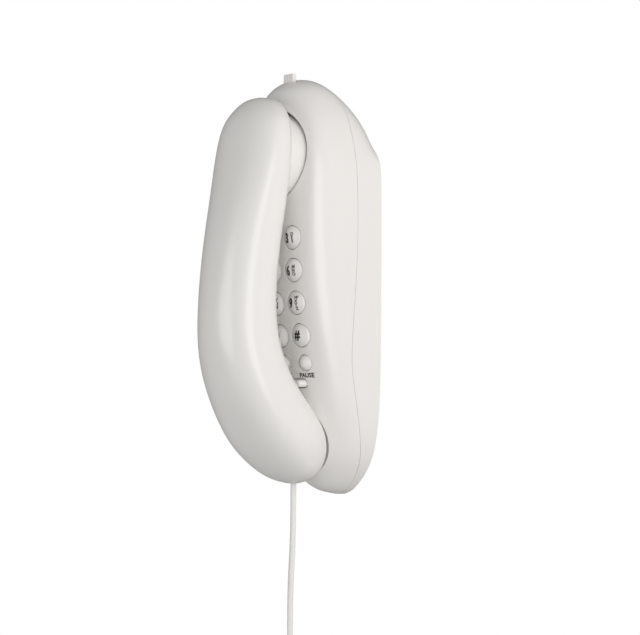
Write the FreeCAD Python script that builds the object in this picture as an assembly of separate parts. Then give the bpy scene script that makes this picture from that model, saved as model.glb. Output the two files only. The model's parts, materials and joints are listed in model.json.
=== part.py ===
import FreeCAD, Part
import math
import os

# Corded landline phone for a wall: a curved handset hangs on a narrow base.
# Millimetres. The wall is the plane y = 0, the front looks along -y, +z is up,
# and x runs to the right of someone facing the phone.

V = FreeCAD.Vector
X_AXIS = V(1, 0, 0)
Y_AXIS = V(0, 1, 0)
Z_AXIS = V(0, 0, 1)

# The base's outer shape: height, front, back, half width and squareness of each
# level section, from the top down. A back past y = 0 is cut off by the wall plane.
BASE_TOP = 108.8
BASE_BOTTOM = -108.6
BASE_HALF_WIDTH = 32.0
BASE_SECTIONS = [
    (BASE_TOP, -30.5, -26.5, 2.0, 2.0),
    (BASE_TOP - 0.8, -34.6, -22.6, 7.0, 2.0),
    (BASE_TOP - 2.8, -38.8, -18.2, 12.0, 2.1),
    (BASE_TOP - 6.8, -43.4, -12.4, 17.2, 2.2),
    (BASE_TOP - 12.8, -46.4, -6.0, 21.6, 2.4),
    (88.0, -47.6, -1.0, 25.6, 2.9),
    (78.0, -47.4, 2.0, 28.8, 3.8),
    (68.0, -47.2, 8.0, 30.8, 4.5),
    (58.0, -47.2, 24.0, 31.8, 5.0),
    (42.0, -47.3, 36.0, BASE_HALF_WIDTH, 5.2),
    (20.0, -47.0, 38.0, BASE_HALF_WIDTH, 5.0),
    (0.0, -45.8, 37.0, BASE_HALF_WIDTH - 0.2, 4.6),
    (-20.0, -43.1, 36.0, BASE_HALF_WIDTH - 0.4, 4.1),
    (-40.0, -39.1, 35.0, BASE_HALF_WIDTH - 0.8, 3.6),
    (-60.0, -35.0, 33.4, 30.4, 3.1),
    (-76.0, -32.0, 32.0, 28.4, 2.7),
    (-88.0, -29.0, 29.0, 25.0, 2.5),
    (BASE_BOTTOM + 11.6, -25.0, 25.0, 19.4, 2.3),
    (BASE_BOTTOM + 5.6, -20.0, 20.0, 13.4, 2.15),
    (BASE_BOTTOM + 2.0, -13.4, 13.4, 8.2, 2.0),
    (BASE_BOTTOM, -4.0, 4.0, 2.5, 2.0),
]
# Side view of the parting line between the base's two housings: height, depth.
BASE_SEAM = [
    (BASE_TOP + 4.0, -19.0),
    (76.0, -17.4),
    (24.0, -16.4),
    (-24.0, -19.2),
    (-46.0, -18.4),
    (-66.0, -14.0),
    (-98.0, -6.0),
    (BASE_BOTTOM - 4.0, -4.0),
]
BASE_WALL = 2.2

# The handset's outer shape and parting line, given the same way.
HANDSET_TOP = 97.2
HANDSET_BOTTOM = -102.4
HANDSET_SECTIONS = [
    (HANDSET_TOP, -57.0, -53.0, 2.0, 2.0),
    (HANDSET_TOP - 1.2, -60.9, -49.6, 9.0, 2.1),
    (HANDSET_TOP - 4.2, -64.2, -47.6, 14.6, 2.2),
    (88.0, -67.4, -46.6, 19.4, 2.35),
    (80.0, -70.2, -46.4, 23.2, 2.5),
    (66.0, -73.2, -46.8, 25.0, 2.5),
    (48.0, -77.3, -48.4, 24.0, 2.5),
    (28.0, -81.9, -50.8, 22.6, 2.5),
    (8.0, -85.2, -53.2, 22.0, 2.5),
    (-12.0, -87.0, -54.0, 22.0, 2.5),
    (-30.0, -86.4, -52.0, 22.8, 2.6),
    (-46.0, -82.8, -45.6, 24.2, 2.7),
    (-60.0, -76.6, -36.0, 25.6, 2.9),
    (-72.0, -69.4, -27.6, 26.4, 3.1),
    (-82.0, -62.6, -23.8, 25.6, 3.0),
    (-90.0, -55.6, -23.4, 23.0, 2.7),
    (HANDSET_BOTTOM + 6.4, -48.8, -25.2, 19.0, 2.4),
    (HANDSET_BOTTOM + 2.2, -42.2, -28.0, 12.4, 2.2),
    (HANDSET_BOTTOM, -36.0, -32.0, 3.0, 2.0),
]
HANDSET_SEAM = [
    (HANDSET_TOP + 4.0, -53.2),
    (66.0, -54.0),
    (40.0, -55.2),
    (8.0, -58.6),
    (-16.0, -59.0),
    (-40.0, -52.5),
    (-62.0, -38.0),
    (-80.0, -28.6),
    (HANDSET_BOTTOM - 4.0, -27.6),
]
HANDSET_WALL = 2.0

# Ear cup of the handset and the round recess of the base that it hangs in.
EAR_CUP_RADIUS = 23.2
EAR_CUP_HEIGHT = 66.9
EAR_CUP_FACE = -41.0
EAR_CUP_ROOT = -55.0
EAR_CUP_ROUNDING = 1.6
EAR_RECESS_GAP = 1.4
EAR_RECESS_RISE = 0.9
EAR_HOLE_RADIUS = 0.9
EAR_HOLE_RINGS = [(0.0, 1), (4.5, 6), (9.0, 12)]
# The handset's lower end sits in a recess that follows it at this gap.
MOUTH_GAP = 1.6
MOUTH_RECESS_TOP = -54.0

# The handset leaves the base along a line that rises at this angle.
LIFT_ANGLE = 15.0

# Tab that the handset hangs on.
TAB_HEIGHT = 36.5
TAB_WIDTH = 10.0
TAB_THICKNESS = 2.6
TAB_REACH = 6.6
TAB_ROOT_WIDTH = 15.0
TAB_ROOT_HEIGHT = 6.6
TAB_ROOT_THICKNESS = 2.0
TAB_CLEARANCE = 0.3
TAB_SLOT_CLEARANCE = 0.6

# Keypad: three columns, four rows of numbers and one row of functions.
KEY_RADIUS = 6.0
FUNCTION_KEY_RADIUS = 4.1
KEY_COLUMN_PITCH = 15.2
KEY_TOP_ROW = 24.4
KEY_ROW_PITCH = 16.7
FUNCTION_ROW = -39.8
KEY_PROUD = 2.1
KEY_CROWN = 2.0
KEY_ROUNDING = 0.6
KEY_GAP = 0.3
KEY_LIP = 1.3
KEY_LIP_THICKNESS = 1.0
KEY_LIP_GAP = 0.4
KEY_TRAVEL = 1.6
COLLAR_WALL = 1.0
KEY_NAMES = [
    ["key_1", "key_2", "key_3"],
    ["key_4", "key_5", "key_6"],
    ["key_7", "key_8", "key_9"],
    ["key_star", "key_0", "key_hash"],
    ["key_flash", "key_redial", "key_pause"],
]

# Main board, tilted like the keypad panel, and the rubber mat on its front.
# BOARD_DEPTH and BOARD_MIDDLE are the place of its front face's middle.
PANEL_TILT = 6.6
BOARD_DEPTH = -30.0
BOARD_MIDDLE = -7.0
BOARD_WIDTH = 46.8
BOARD_UP = 48.0
BOARD_DOWN = 50.5
BOARD_THICKNESS = 1.6
BOARD_CORNER = 3.0
MAT_THICKNESS = 1.0
MAT_EDGE = 2.2
DOME_HEIGHT = 0.6
DOME_RADIUS = 4.4
DOME_SLOPE = 1.3
DOME_CLEARANCE = 0.1

# Parts on the board's back. Places are across and along the board.
CHIP_LENGTH = 24.0
CHIP_WIDTH = 7.0
CHIP_MIDDLE = 9.5
CHIP_THICKNESS = 3.2
CHIP_STANDOFF = 0.8
CHIP_PINS = 9
PIN_PITCH = 2.54
PIN_WIDTH = 0.6
PIN_THICKNESS = 0.5
# Place, radius and height of each capacitor.
CAPACITORS = [(-14.0, -12.0, 4.0, 11.0), (14.0, -12.0, 3.2, 9.0), (-15.0, 26.0, 2.6, 7.0)]
CAN_ROUNDING = 0.5
TRANSISTORS = [(15.0, 24.0), (8.0, 24.0), (15.0, -26.0), (8.0, -26.0)]
TRANSISTOR_RADIUS = 2.4
TRANSISTOR_LENGTH = 4.6
TRANSISTOR_FLAT = 1.4
TRANSISTOR_STANDOFF = 2.4
LEG_WIDTH = 0.5
LEG_SPACING = 1.27
VARISTOR = (-8.0, -32.0)
VARISTOR_RADIUS = 5.0
VARISTOR_THICKNESS = 3.4
VARISTOR_STANDOFF = 3.0
VARISTOR_LEG_RADIUS = 0.4
VARISTOR_LEG_SPACING = 5.0

# Hook switch bar below the keys.
HOOK_HEIGHT = -50.3
HOOK_LENGTH = 29.0
HOOK_THICKNESS = 4.0
HOOK_TIP = -40.9
HOOK_ROUNDING = 0.8
HOOK_GAP = 0.4
HOOK_TRAVEL = 3.0
HOOK_STOP_GAP = 0.4
HOOK_LIP_LENGTH = 32.0
HOOK_LIP_HEIGHT = 7.0
HOOK_LIP_THICKNESS = 1.0
HOOK_SWITCH_WIDTH = 12.0
HOOK_SWITCH_HEIGHT = 5.6
HOOK_BUTTON_RADIUS = 1.5
HOOK_BUTTON_RISE = 1.0
HOOK_BUTTON_GAP = 0.4

# Ringer slide switch in the top of the base.
RINGER_FRONT = -36.85
RINGER_WIDTH = 7.3
RINGER_DEPTH = 2.5
RINGER_KNOB_TOP = 111.4
RINGER_TRAVEL = 2.5
RINGER_GAP = 0.35
RINGER_LIP_WIDTH = 14.0
RINGER_LIP_DEPTH = 3.0
RINGER_LIP_THICKNESS = 1.0
RINGER_BODY_WIDTH = 17.0
RINGER_BODY_DEPTH = 6.0
RINGER_BODY_HEIGHT = 6.0
RINGER_BODY_TOP = 99.5
RINGER_CLEARANCE = 0.3
RINGER_RIBS = 4
RINGER_RIB_DEPTH = 0.35

# Cord sockets: outer block, opening and plug.
JACK_WIDTH = 9.6
JACK_DEPTH = 8.6
JACK_LENGTH = 14.0
PLUG_WIDTH = 7.6
PLUG_DEPTH = 6.4
PLUG_LENGTH = 12.5
PLUG_INSIDE = 7.0
PLUG_CLEARANCE = 0.15
PLUG_ROUNDING = 0.5
JACK_SEAT_WALL = 1.2
JACK_SEAT_THICKNESS = 2.0
HANDSET_JACK = V(0, -33.0, -95.5)
BASE_JACK = V(-18.3, -18.3, -71.5)
NOTCH_MARGIN = 0.9
NOTCH_WALL = 1.2

# Socket for the line, open to the wall.
LINE_JACK_WIDTH = 13.0
LINE_JACK_DEPTH = 14.0
LINE_JACK_HEIGHT = 12.0
LINE_SOCKET_WIDTH = 10.0
LINE_SOCKET_HEIGHT = 7.0
LINE_SOCKET_DEPTH = 11.5
LINE_JACK_LEVEL = -28.0

# Keyholes in the back for two studs of a wall plate.
STUD_SPACING = 98.4
STUD_HEAD_RADIUS = 4.6
STUD_NECK_RADIUS = 2.2
STUD_SLOT_RISE = 8.0
KEYHOLE_MIDDLE = 0.0

# Screws. Each housing screw has its place and the depth of its head in the back.
SCREW_RADIUS = 1.3
SCREW_LENGTH = 12.0
SCREW_HEAD_RADIUS = 2.6
SCREW_HEAD_HEIGHT = 1.8
SCREW_RECESS_RADIUS = 0.9
SCREW_RECESS_DEPTH = 0.8
PILOT_CLEARANCE = 0.05
PASS_CLEARANCE = 0.4
BOSS_RADIUS = 3.6
BACK_BOSS_RADIUS = 4.6
HOUSING_SCREWS = [(-15.0, 58.0, 11.0), (15.0, 58.0, 11.0), (-6.0, -86.0, 3.5), (9.0, -86.0, 3.5)]
BOARD_SCREWS = [(-21.0, 45.0), (21.0, 45.0), (-19.6, -47.0), (19.6, -47.0)]
BOARD_SCREW_LENGTH = 7.0
BOARD_BOSS_RADIUS = 2.8
HANDSET_SCREWS = [26.0, -42.0]
HANDSET_SCREW_SINK = 2.2

# Ringer: a thin disc in a round holder on the inside of the back.
HOLDER_RADIUS = 15.0
HOLDER_DEPTH = 5.0
HOLDER_LEVEL = 8.0
DISC_RADIUS = 13.4
DISC_THICKNESS = 0.5
DISC_SEAT = 1.2
HOLDER_BORE = 11.0

# Parts inside the handset.
RECEIVER_RADIUS = 18.0
RECEIVER_BACK_RADIUS = 12.6
RECEIVER_DEPTH = 8.5
GASKET_WIDTH = 3.0
GASKET_THICKNESS = 0.8
RIB_CLEARANCE = 0.2
RIB_WALL = 1.4
RIB_REACH = 5.0
MICROPHONE_LEVEL = -68.0
MICROPHONE_TILT = 33.0
MICROPHONE_RADIUS = 4.9
MICROPHONE_DEPTH = 6.0
MICROPHONE_SINK = 1.5
MICROPHONE_HOLE_RADIUS = 0.8
MICROPHONE_HOLE_SPACING = 3.4
BOOT_WALL = 1.4
BOOT_MOUTH_RADIUS = 3.4
BALLAST_WIDTH = 13.0
BALLAST_DEPTH = 8.0
BALLAST_LENGTH = 52.0
BALLAST_FRONT = -77.0
BALLAST_LEVEL = -8.0
BALLAST_CHAMFER = 0.6
BALLAST_RIBS = [-14.0, 14.0]
BALLAST_RIB_WIDTH = 15.0
BALLAST_RIB_THICKNESS = 2.0

# Cord between handset and base: a straight lead at each end and curls between.
CORD_DIAMETER = 2.9
CURL_RADIUS = 4.6
CURLS = 60
# Points of the handset's lead below its plug, from the plug's end.
HANDSET_LEAD = [(0.0, 0.0, 0.0), (0.2, -0.3, -28.0), (-1.1, -1.4, -60.0), (-1.1, -1.4, -89.0)]
# The base's lead hangs this far from the handset's, along this direction.
LEAD_SPACING = 23.5
LEAD_SIDE = V(-0.779, 0.627, 0)
# Half of the curls' bow: distance from the handset's lead, and depth below its end.
BOW = [
    (-CURL_RADIUS, CORD_DIAMETER),
    (-CURL_RADIUS, 16.0),
    (-9.0, 36.0),
    (-15.5, 58.0),
    (-19.5, 80.0),
    (-19.0, 100.0),
    (-11.5, 118.0),
    (3.5, 128.5),
]
# Length of the bow over which the wire turns into curls at each end.
CURL_START = 9.0

# Points round each section of the outer shapes.
SECTION_POINTS = 32
# Reach of cutting shapes past what they cut.
PAST = 60.0


def superellipse(height, front, back, half_width, square):
    """Closed curve at one height, with a point on each of SECTION_POINTS even rays."""
    middle = (front + back) / 2
    half_depth = (back - front) / 2
    points = []
    for k in range(SECTION_POINTS):
        angle = 2 * math.pi * k / SECTION_POINTS
        c = math.cos(angle)
        s = math.sin(angle)
        reach = (abs(c) ** square + abs(s) ** square) ** (-1 / square)
        points.append(V(half_width * reach * c, middle + half_depth * reach * s, height))
    curve = Part.BSplineCurve()
    curve.interpolate(points, PeriodicFlag=True)
    return Part.Wire(curve.toShape())


def hull(sections, inset=0.0):
    """Solid through the level sections, drawn in by inset on every side."""
    top = sections[0][0]
    bottom = sections[-1][0]
    middle = (top + bottom) / 2
    shrink = (top - bottom - 2 * inset) / (top - bottom)
    wires = []
    for height, front, back, half_width, square in sections:
        if half_width - inset < 1.5 or back - front - 2 * inset < 3.0:
            continue
        level = middle + (height - middle) * shrink
        wires.append(superellipse(level, front + inset, back - inset, half_width - inset, square))
    return Part.makeLoft(wires, True, False)


def section_at(sections, height):
    """Front, back, half width and squareness at a height, between two listed sections."""
    for upper, lower in zip(sections, sections[1:]):
        if lower[0] <= height <= upper[0]:
            t = (height - lower[0]) / (upper[0] - lower[0])
            return [b + (a - b) * t for a, b in zip(upper[1:], lower[1:])]
    raise ValueError(f"height {height} is outside the shape")


def surface_point(sections, x, height, side):
    """Point of the outer shape's front (side -1) or back (side 1) at x and a height."""
    front, back, half_width, square = section_at(sections, height)
    reach = (1 - abs(x / half_width) ** square) ** (1 / square)
    return V(x, (front + back) / 2 + side * (back - front) / 2 * reach, height)


def side_prism(seam, far):
    """Block between a parting line seen from the side and the depth far."""
    points = [V(-PAST, y, z) for z, y in seam]
    curve = Part.BSplineCurve()
    curve.interpolate(points)
    edges = [curve.toShape()]
    corners = [points[-1], V(-PAST, far, points[-1].z), V(-PAST, far, points[0].z), points[0]]
    edges += [Part.makeLine(a, b) for a, b in zip(corners, corners[1:])]
    return Part.Face(Part.Wire(edges)).extrude(X_AXIS * 2 * PAST)


def box(x0, x1, y0, y1, z0, z1):
    return Part.makeBox(x1 - x0, y1 - y0, z1 - z0, V(x0, y0, z0))


def block(centre, width, depth, height):
    """Box centred on a point in x and y that rises from it by height, or falls if negative."""
    low = min(centre.z, centre.z + height)
    return Part.makeBox(width, depth, abs(height), V(centre.x - width / 2, centre.y - depth / 2, low))


def rod(radius, start, end):
    """Cylinder from one point to another."""
    return Part.makeCylinder(radius, (end - start).Length, start, end - start)


def along_y(radius, x, z, start, end):
    """Cylinder along y between two depths."""
    return rod(radius, V(x, start, z), V(x, end, z))


def stadium(length, thickness, start, end, level):
    """Bar along y with half-round ends in x, centred on x = 0 at a level."""
    r = thickness / 2
    half = length / 2 - r
    low_left = V(-half, start, level - r)
    low_right = V(half, start, level - r)
    high_left = V(-half, start, level + r)
    high_right = V(half, start, level + r)
    edges = [
        Part.makeLine(low_left, low_right),
        Part.Arc(low_right, V(half + r, start, level), high_right).toShape(),
        Part.makeLine(high_right, high_left),
        Part.Arc(high_left, V(-half - r, start, level), low_left).toShape(),
    ]
    return Part.Face(Part.Wire(edges)).extrude(Y_AXIS * (end - start))


def join(shapes):
    """All the shapes made one."""
    return shapes[0].fuse(shapes[1:]).removeSplitter()


def below(shape, level):
    """The part of a shape under a level."""
    return shape.common(box(-PAST, PAST, -2 * PAST, PAST, level - 2 * PAST, level))


# The board's own axes: x across, UPWARD along the board, OUTWARD to the keys.
tilt = math.radians(PANEL_TILT)
OUTWARD = V(0, -math.cos(tilt), -math.sin(tilt))
UPWARD = V(0, -math.sin(tilt), math.cos(tilt))
BOARD_ORIGIN = V(0, BOARD_DEPTH, BOARD_MIDDLE)
BOARD_PLACE = FreeCAD.Placement(BOARD_ORIGIN, FreeCAD.Rotation(X_AXIS, UPWARD, OUTWARD))
# Heights above the board's front: key foot, top of the key's lip, end of the collars.
KEY_FOOT = MAT_THICKNESS + DOME_HEIGHT + DOME_CLEARANCE + KEY_TRAVEL
KEY_LIP_TOP = KEY_FOOT + KEY_LIP_THICKNESS
COLLAR_END = KEY_LIP_TOP + KEY_LIP_GAP

lift = math.radians(LIFT_ANGLE)
LIFT = V(0, -math.cos(lift), math.sin(lift))
EAR_RECESS_RADIUS = EAR_CUP_RADIUS + EAR_RECESS_GAP
EAR_RECESS_FLOOR = EAR_CUP_FACE + EAR_RECESS_GAP
RECESS_BACK = EAR_RECESS_FLOOR + BASE_WALL


def on_board(shape):
    """Puts a shape drawn on the board's axes, with w as its z, into place."""
    placed = shape.copy()
    placed.Placement = BOARD_PLACE.multiply(placed.Placement)
    return placed


def board_coordinates(point):
    offset = point - BOARD_ORIGIN
    return offset.x, offset.dot(UPWARD), offset.dot(OUTWARD)


def keys():
    """Name, radius and place of each key: across, along the board, and height of its top."""
    for row, names in enumerate(KEY_NAMES):
        function = row == len(KEY_NAMES) - 1
        level = FUNCTION_ROW if function else KEY_TOP_ROW - row * KEY_ROW_PITCH
        radius = FUNCTION_KEY_RADIUS if function else KEY_RADIUS
        for column, name in enumerate(names):
            x = (column - 1) * KEY_COLUMN_PITCH
            x, v, w = board_coordinates(surface_point(BASE_SECTIONS, x, level, -1))
            yield name, radius, x, v, w + KEY_PROUD


def key(radius, x, v, top):
    """Domed button with a lip at its foot."""
    shoulder = top - KEY_CROWN
    edge = radius - KEY_ROUNDING
    cut_corner = KEY_ROUNDING * (1 - math.sqrt(0.5))
    sphere = (edge ** 2 + KEY_CROWN ** 2) / (2 * KEY_CROWN)
    halfway = top - sphere + math.sqrt(sphere ** 2 - (edge / 2) ** 2)
    corners = [
        V(radius, 0, shoulder - KEY_ROUNDING),
        V(radius, 0, KEY_LIP_TOP),
        V(radius + KEY_LIP, 0, KEY_LIP_TOP),
        V(radius + KEY_LIP, 0, KEY_FOOT),
        V(0, 0, KEY_FOOT),
        V(0, 0, top),
    ]
    edges = [Part.makeLine(a, b) for a, b in zip(corners, corners[1:])]
    edges.append(Part.Arc(corners[-1], V(edge / 2, 0, halfway), V(edge, 0, shoulder)).toShape())
    rim = V(radius - cut_corner, 0, shoulder - cut_corner)
    edges.append(Part.Arc(V(edge, 0, shoulder), rim, corners[0]).toShape())
    solid = Part.Face(Part.Wire(Part.__sortEdges__(edges))).revolve(V(), Z_AXIS, 360)
    solid.translate(V(x, v, 0))
    return on_board(solid)


def keypad_mat():
    """Rubber mat with a low dome under each key, drawn at the height it is pressed to."""
    places = [v for name, radius, x, v, top in keys()]
    low = min(places) - FUNCTION_KEY_RADIUS - MAT_EDGE
    high = max(places) + KEY_RADIUS + MAT_EDGE
    half = KEY_COLUMN_PITCH + DOME_RADIUS + MAT_EDGE / 2
    pieces = [box(-half, half, low, high, 0, MAT_THICKNESS)]
    for name, radius, x, v, top in keys():
        foot = DOME_RADIUS * radius / KEY_RADIUS
        pieces.append(Part.makeCone(foot, foot - DOME_SLOPE, DOME_HEIGHT, V(x, v, MAT_THICKNESS)))
    return on_board(join(pieces))


def tab(clearance=0.0):
    """Straight tab along the handset's way out, through a point of the base's front."""
    root = surface_point(BASE_SECTIONS, 0, TAB_HEIGHT, -1)
    inside = BASE_WALL + TAB_ROOT_THICKNESS / 2
    width = TAB_WIDTH + 2 * clearance
    thick = TAB_THICKNESS + 2 * clearance
    bar = Part.makeBox(width, inside + TAB_REACH + clearance, thick, V(-width / 2, -inside, -thick / 2))
    bar.Placement = FreeCAD.Placement(root, FreeCAD.Rotation(X_AXIS, LIFT, X_AXIS.cross(LIFT), "XYZ"))
    return bar


def handset_hook():
    """The tab with a plate behind the base's front wall."""
    root = surface_point(BASE_SECTIONS, 0, TAB_HEIGHT, -1)
    front = root.y + BASE_WALL + TAB_CLEARANCE
    middle = V(0, front + TAB_ROOT_THICKNESS / 2, root.z - TAB_ROOT_HEIGHT / 2)
    return join([tab(), block(middle, TAB_ROOT_WIDTH, TAB_ROOT_THICKNESS, TAB_ROOT_HEIGHT)])


def keyhole(level):
    """Round hole for a stud's head with a slot above it for the neck."""
    top = level + STUD_SLOT_RISE
    slot = box(-STUD_NECK_RADIUS, STUD_NECK_RADIUS, -2 * BASE_WALL, BASE_WALL, level, top)
    head = along_y(STUD_HEAD_RADIUS, 0, level, -2 * BASE_WALL, BASE_WALL)
    return join([head, slot, along_y(STUD_NECK_RADIUS, 0, top, -2 * BASE_WALL, BASE_WALL)])


def notch(margin, top):
    """Space below the base's cord socket, down through the base's lower end."""
    width = PLUG_WIDTH + 2 * margin
    depth = PLUG_DEPTH + 2 * margin
    start = V(BASE_JACK.x, BASE_JACK.y, BASE_JACK.z + top)
    return block(start, width, depth, BASE_BOTTOM - BASE_JACK.z - top)


def base_cavity():
    """Room inside the base: the outer shape drawn in, less what stands in it."""
    room = hull(BASE_SECTIONS, BASE_WALL)
    room = room.common(box(-PAST, PAST, -PAST, -BASE_WALL, BASE_BOTTOM, BASE_TOP))
    solids = [
        along_y(EAR_RECESS_RADIUS + BASE_WALL, 0, EAR_CUP_HEIGHT + EAR_RECESS_RISE, -PAST, RECESS_BACK),
        below(hull(HANDSET_SECTIONS, -MOUTH_GAP - BASE_WALL), MOUTH_RECESS_TOP + BASE_WALL),
        notch(NOTCH_MARGIN + NOTCH_WALL, 0.0),
    ]
    for name, radius, x, v, top in keys():
        reach = radius + KEY_GAP + COLLAR_WALL
        solids.append(on_board(Part.makeCylinder(reach, top, V(x, v, COLLAR_END))))
    for x, v in BOARD_SCREWS:
        solids.append(on_board(Part.makeCylinder(BOARD_BOSS_RADIUS, PAST / 2, V(x, v, 0))))
    for x, z, sink in HOUSING_SCREWS:
        solids.append(along_y(BACK_BOSS_RADIUS, x, z, -sink - SCREW_LENGTH / 4, 0))
        solids.append(along_y(BOSS_RADIUS, x, z, -PAST, -BASE_WALL))
    return room.cut(solids)


def base_housings():
    """Front and back housings, parted along BASE_SEAM."""
    outer = hull(BASE_SECTIONS).common(box(-PAST, PAST, -PAST, 0, BASE_BOTTOM - 1, BASE_TOP + 1))
    shell = outer.cut(base_cavity())
    cuts = [
        along_y(EAR_RECESS_RADIUS, 0, EAR_CUP_HEIGHT + EAR_RECESS_RISE, -PAST, EAR_RECESS_FLOOR),
        below(hull(HANDSET_SECTIONS, -MOUTH_GAP), MOUTH_RECESS_TOP),
        tab(TAB_CLEARANCE),
        stadium(HOOK_LENGTH + 2 * HOOK_GAP, HOOK_THICKNESS + 2 * HOOK_GAP, -PAST, -PAST / 2, HOOK_HEIGHT),
        notch(NOTCH_MARGIN, -JACK_SEAT_THICKNESS),
        notch(PLUG_CLEARANCE, 0.0),
        block(BASE_JACK, JACK_WIDTH, JACK_DEPTH, JACK_LENGTH),
        keyhole(KEYHOLE_MIDDLE + STUD_SPACING / 2),
        keyhole(KEYHOLE_MIDDLE - STUD_SPACING / 2),
        ringer_slot(),
        line_opening(),
    ]
    for name, radius, x, v, top in keys():
        cuts.append(on_board(Part.makeCylinder(radius + KEY_GAP, PAST / 2, V(x, v, 0))))
    for x, v in BOARD_SCREWS:
        pilot = Part.makeCylinder(SCREW_RADIUS + PILOT_CLEARANCE, BOARD_SCREW_LENGTH, V(x, v, 0))
        cuts.append(on_board(pilot))
    for x, z, sink in HOUSING_SCREWS:
        cuts.append(along_y(SCREW_HEAD_RADIUS + PASS_CLEARANCE, x, z, -sink, BASE_WALL))
    shell = shell.cut(cuts)
    front = shell.common(side_prism(BASE_SEAM, -PAST))
    back = shell.common(side_prism(BASE_SEAM, PAST))
    for x, z, sink in HOUSING_SCREWS:
        front = front.cut(along_y(SCREW_RADIUS + PILOT_CLEARANCE, x, z, -sink - SCREW_LENGTH, 0))
        back = back.cut(along_y(SCREW_RADIUS + PASS_CLEARANCE, x, z, -sink - SCREW_LENGTH, 0))
    return front, back


def ringer_slot():
    """Opening in the base's top that lets the knob slide."""
    width = RINGER_WIDTH + 2 * RINGER_TRAVEL + 2 * RINGER_GAP
    front = RINGER_FRONT - RINGER_GAP
    back = RINGER_FRONT + RINGER_DEPTH + RINGER_GAP
    return box(-width / 2, width / 2, front, back, RINGER_BODY_TOP, RINGER_KNOB_TOP)


def ringer_knob():
    """Knob with ribs down its front and a lip inside the base."""
    foot = RINGER_BODY_TOP + RINGER_CLEARANCE
    middle = RINGER_FRONT + RINGER_DEPTH / 2
    half = RINGER_WIDTH / 2
    stem = box(-half, half, RINGER_FRONT, RINGER_FRONT + RINGER_DEPTH, foot, RINGER_KNOB_TOP)
    corners = [e for e in stem.Edges if abs(e.CenterOfMass.z - RINGER_KNOB_TOP) < 0.01]
    stem = stem.makeFillet(RINGER_RIB_DEPTH, corners)
    pitch = RINGER_WIDTH / (RINGER_RIBS + 1)
    grooves = []
    for k in range(RINGER_RIBS):
        x = (k + 1) * pitch - half
        low = V(x, RINGER_FRONT, foot + RINGER_LIP_THICKNESS)
        grooves.append(rod(RINGER_RIB_DEPTH, low, V(x, RINGER_FRONT, RINGER_KNOB_TOP)))
    lip = block(V(0, middle, foot), RINGER_LIP_WIDTH, RINGER_LIP_DEPTH, RINGER_LIP_THICKNESS)
    return join([stem.cut(grooves), lip])


def ringer_switch_body():
    """Switch under the knob, against the back of the ear recess."""
    return block(
        V(0, RECESS_BACK + RINGER_BODY_DEPTH / 2, RINGER_BODY_TOP),
        RINGER_BODY_WIDTH, RINGER_BODY_DEPTH, -RINGER_BODY_HEIGHT,
    )


def line_opening():
    """Opening in the back over the line socket."""
    half = LINE_SOCKET_WIDTH / 2
    low = LINE_JACK_LEVEL - LINE_SOCKET_HEIGHT / 2
    return box(-half, half, -2 * BASE_WALL, BASE_WALL, low, low + LINE_SOCKET_HEIGHT)


def line_jack():
    """Socket block on the inside of the back, open to the wall."""
    body = box(
        -LINE_JACK_WIDTH / 2, LINE_JACK_WIDTH / 2, -BASE_WALL - LINE_JACK_DEPTH, -BASE_WALL,
        LINE_JACK_LEVEL - LINE_JACK_HEIGHT / 2, LINE_JACK_LEVEL + LINE_JACK_HEIGHT / 2,
    )
    low = LINE_JACK_LEVEL - LINE_SOCKET_HEIGHT / 2
    half = LINE_SOCKET_WIDTH / 2
    return body.cut(box(-half, half, -BASE_WALL - LINE_SOCKET_DEPTH, 0, low, low + LINE_SOCKET_HEIGHT))


def cord_jack(mouth):
    """Socket block that opens downward at mouth."""
    body = block(mouth, JACK_WIDTH, JACK_DEPTH, JACK_LENGTH)
    width = PLUG_WIDTH + 2 * PLUG_CLEARANCE
    depth = PLUG_DEPTH + 2 * PLUG_CLEARANCE
    return body.cut(block(mouth, width, depth, PLUG_INSIDE + PLUG_CLEARANCE))


def cord_plug(mouth):
    """Plug that stands part of its length in the socket above it."""
    body = block(V(mouth.x, mouth.y, mouth.z + PLUG_INSIDE), PLUG_WIDTH, PLUG_DEPTH, -PLUG_LENGTH)
    edges = [e for e in body.Edges if abs(e.Length - PLUG_LENGTH) < 0.01]
    return body.makeFillet(PLUG_ROUNDING, edges)


def plug_end(mouth):
    return V(mouth.x, mouth.y, mouth.z + PLUG_INSIDE - PLUG_LENGTH)


def main_board():
    outline = box(-BOARD_WIDTH / 2, BOARD_WIDTH / 2, -BOARD_DOWN, BOARD_UP, -BOARD_THICKNESS, 0)
    corners = [e for e in outline.Edges if abs(e.Length - BOARD_THICKNESS) < 0.01]
    board = outline.makeFillet(BOARD_CORNER, corners)
    holes = []
    for x, v in BOARD_SCREWS:
        holes.append(Part.makeCylinder(SCREW_RADIUS + PASS_CLEARANCE, PAST, V(x, v, -PAST / 2)))
    return on_board(board.cut(holes))


def dialler_chip():
    """Chip body with two rows of pins on the board's back."""
    face = -BOARD_THICKNESS
    half = CHIP_LENGTH / 2
    sides = [CHIP_MIDDLE - CHIP_WIDTH / 2, CHIP_MIDDLE + CHIP_WIDTH / 2]
    top = face - CHIP_STANDOFF
    pieces = [box(-half, half, *sides, top - CHIP_THICKNESS, top)]
    for k in range(CHIP_PINS):
        x = (k - (CHIP_PINS - 1) / 2) * PIN_PITCH
        for v in sides:
            foot = V(x, v, top - CHIP_THICKNESS / 2)
            pieces.append(block(foot, PIN_WIDTH, PIN_THICKNESS, face - foot.z))
    return on_board(join(pieces))


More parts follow.
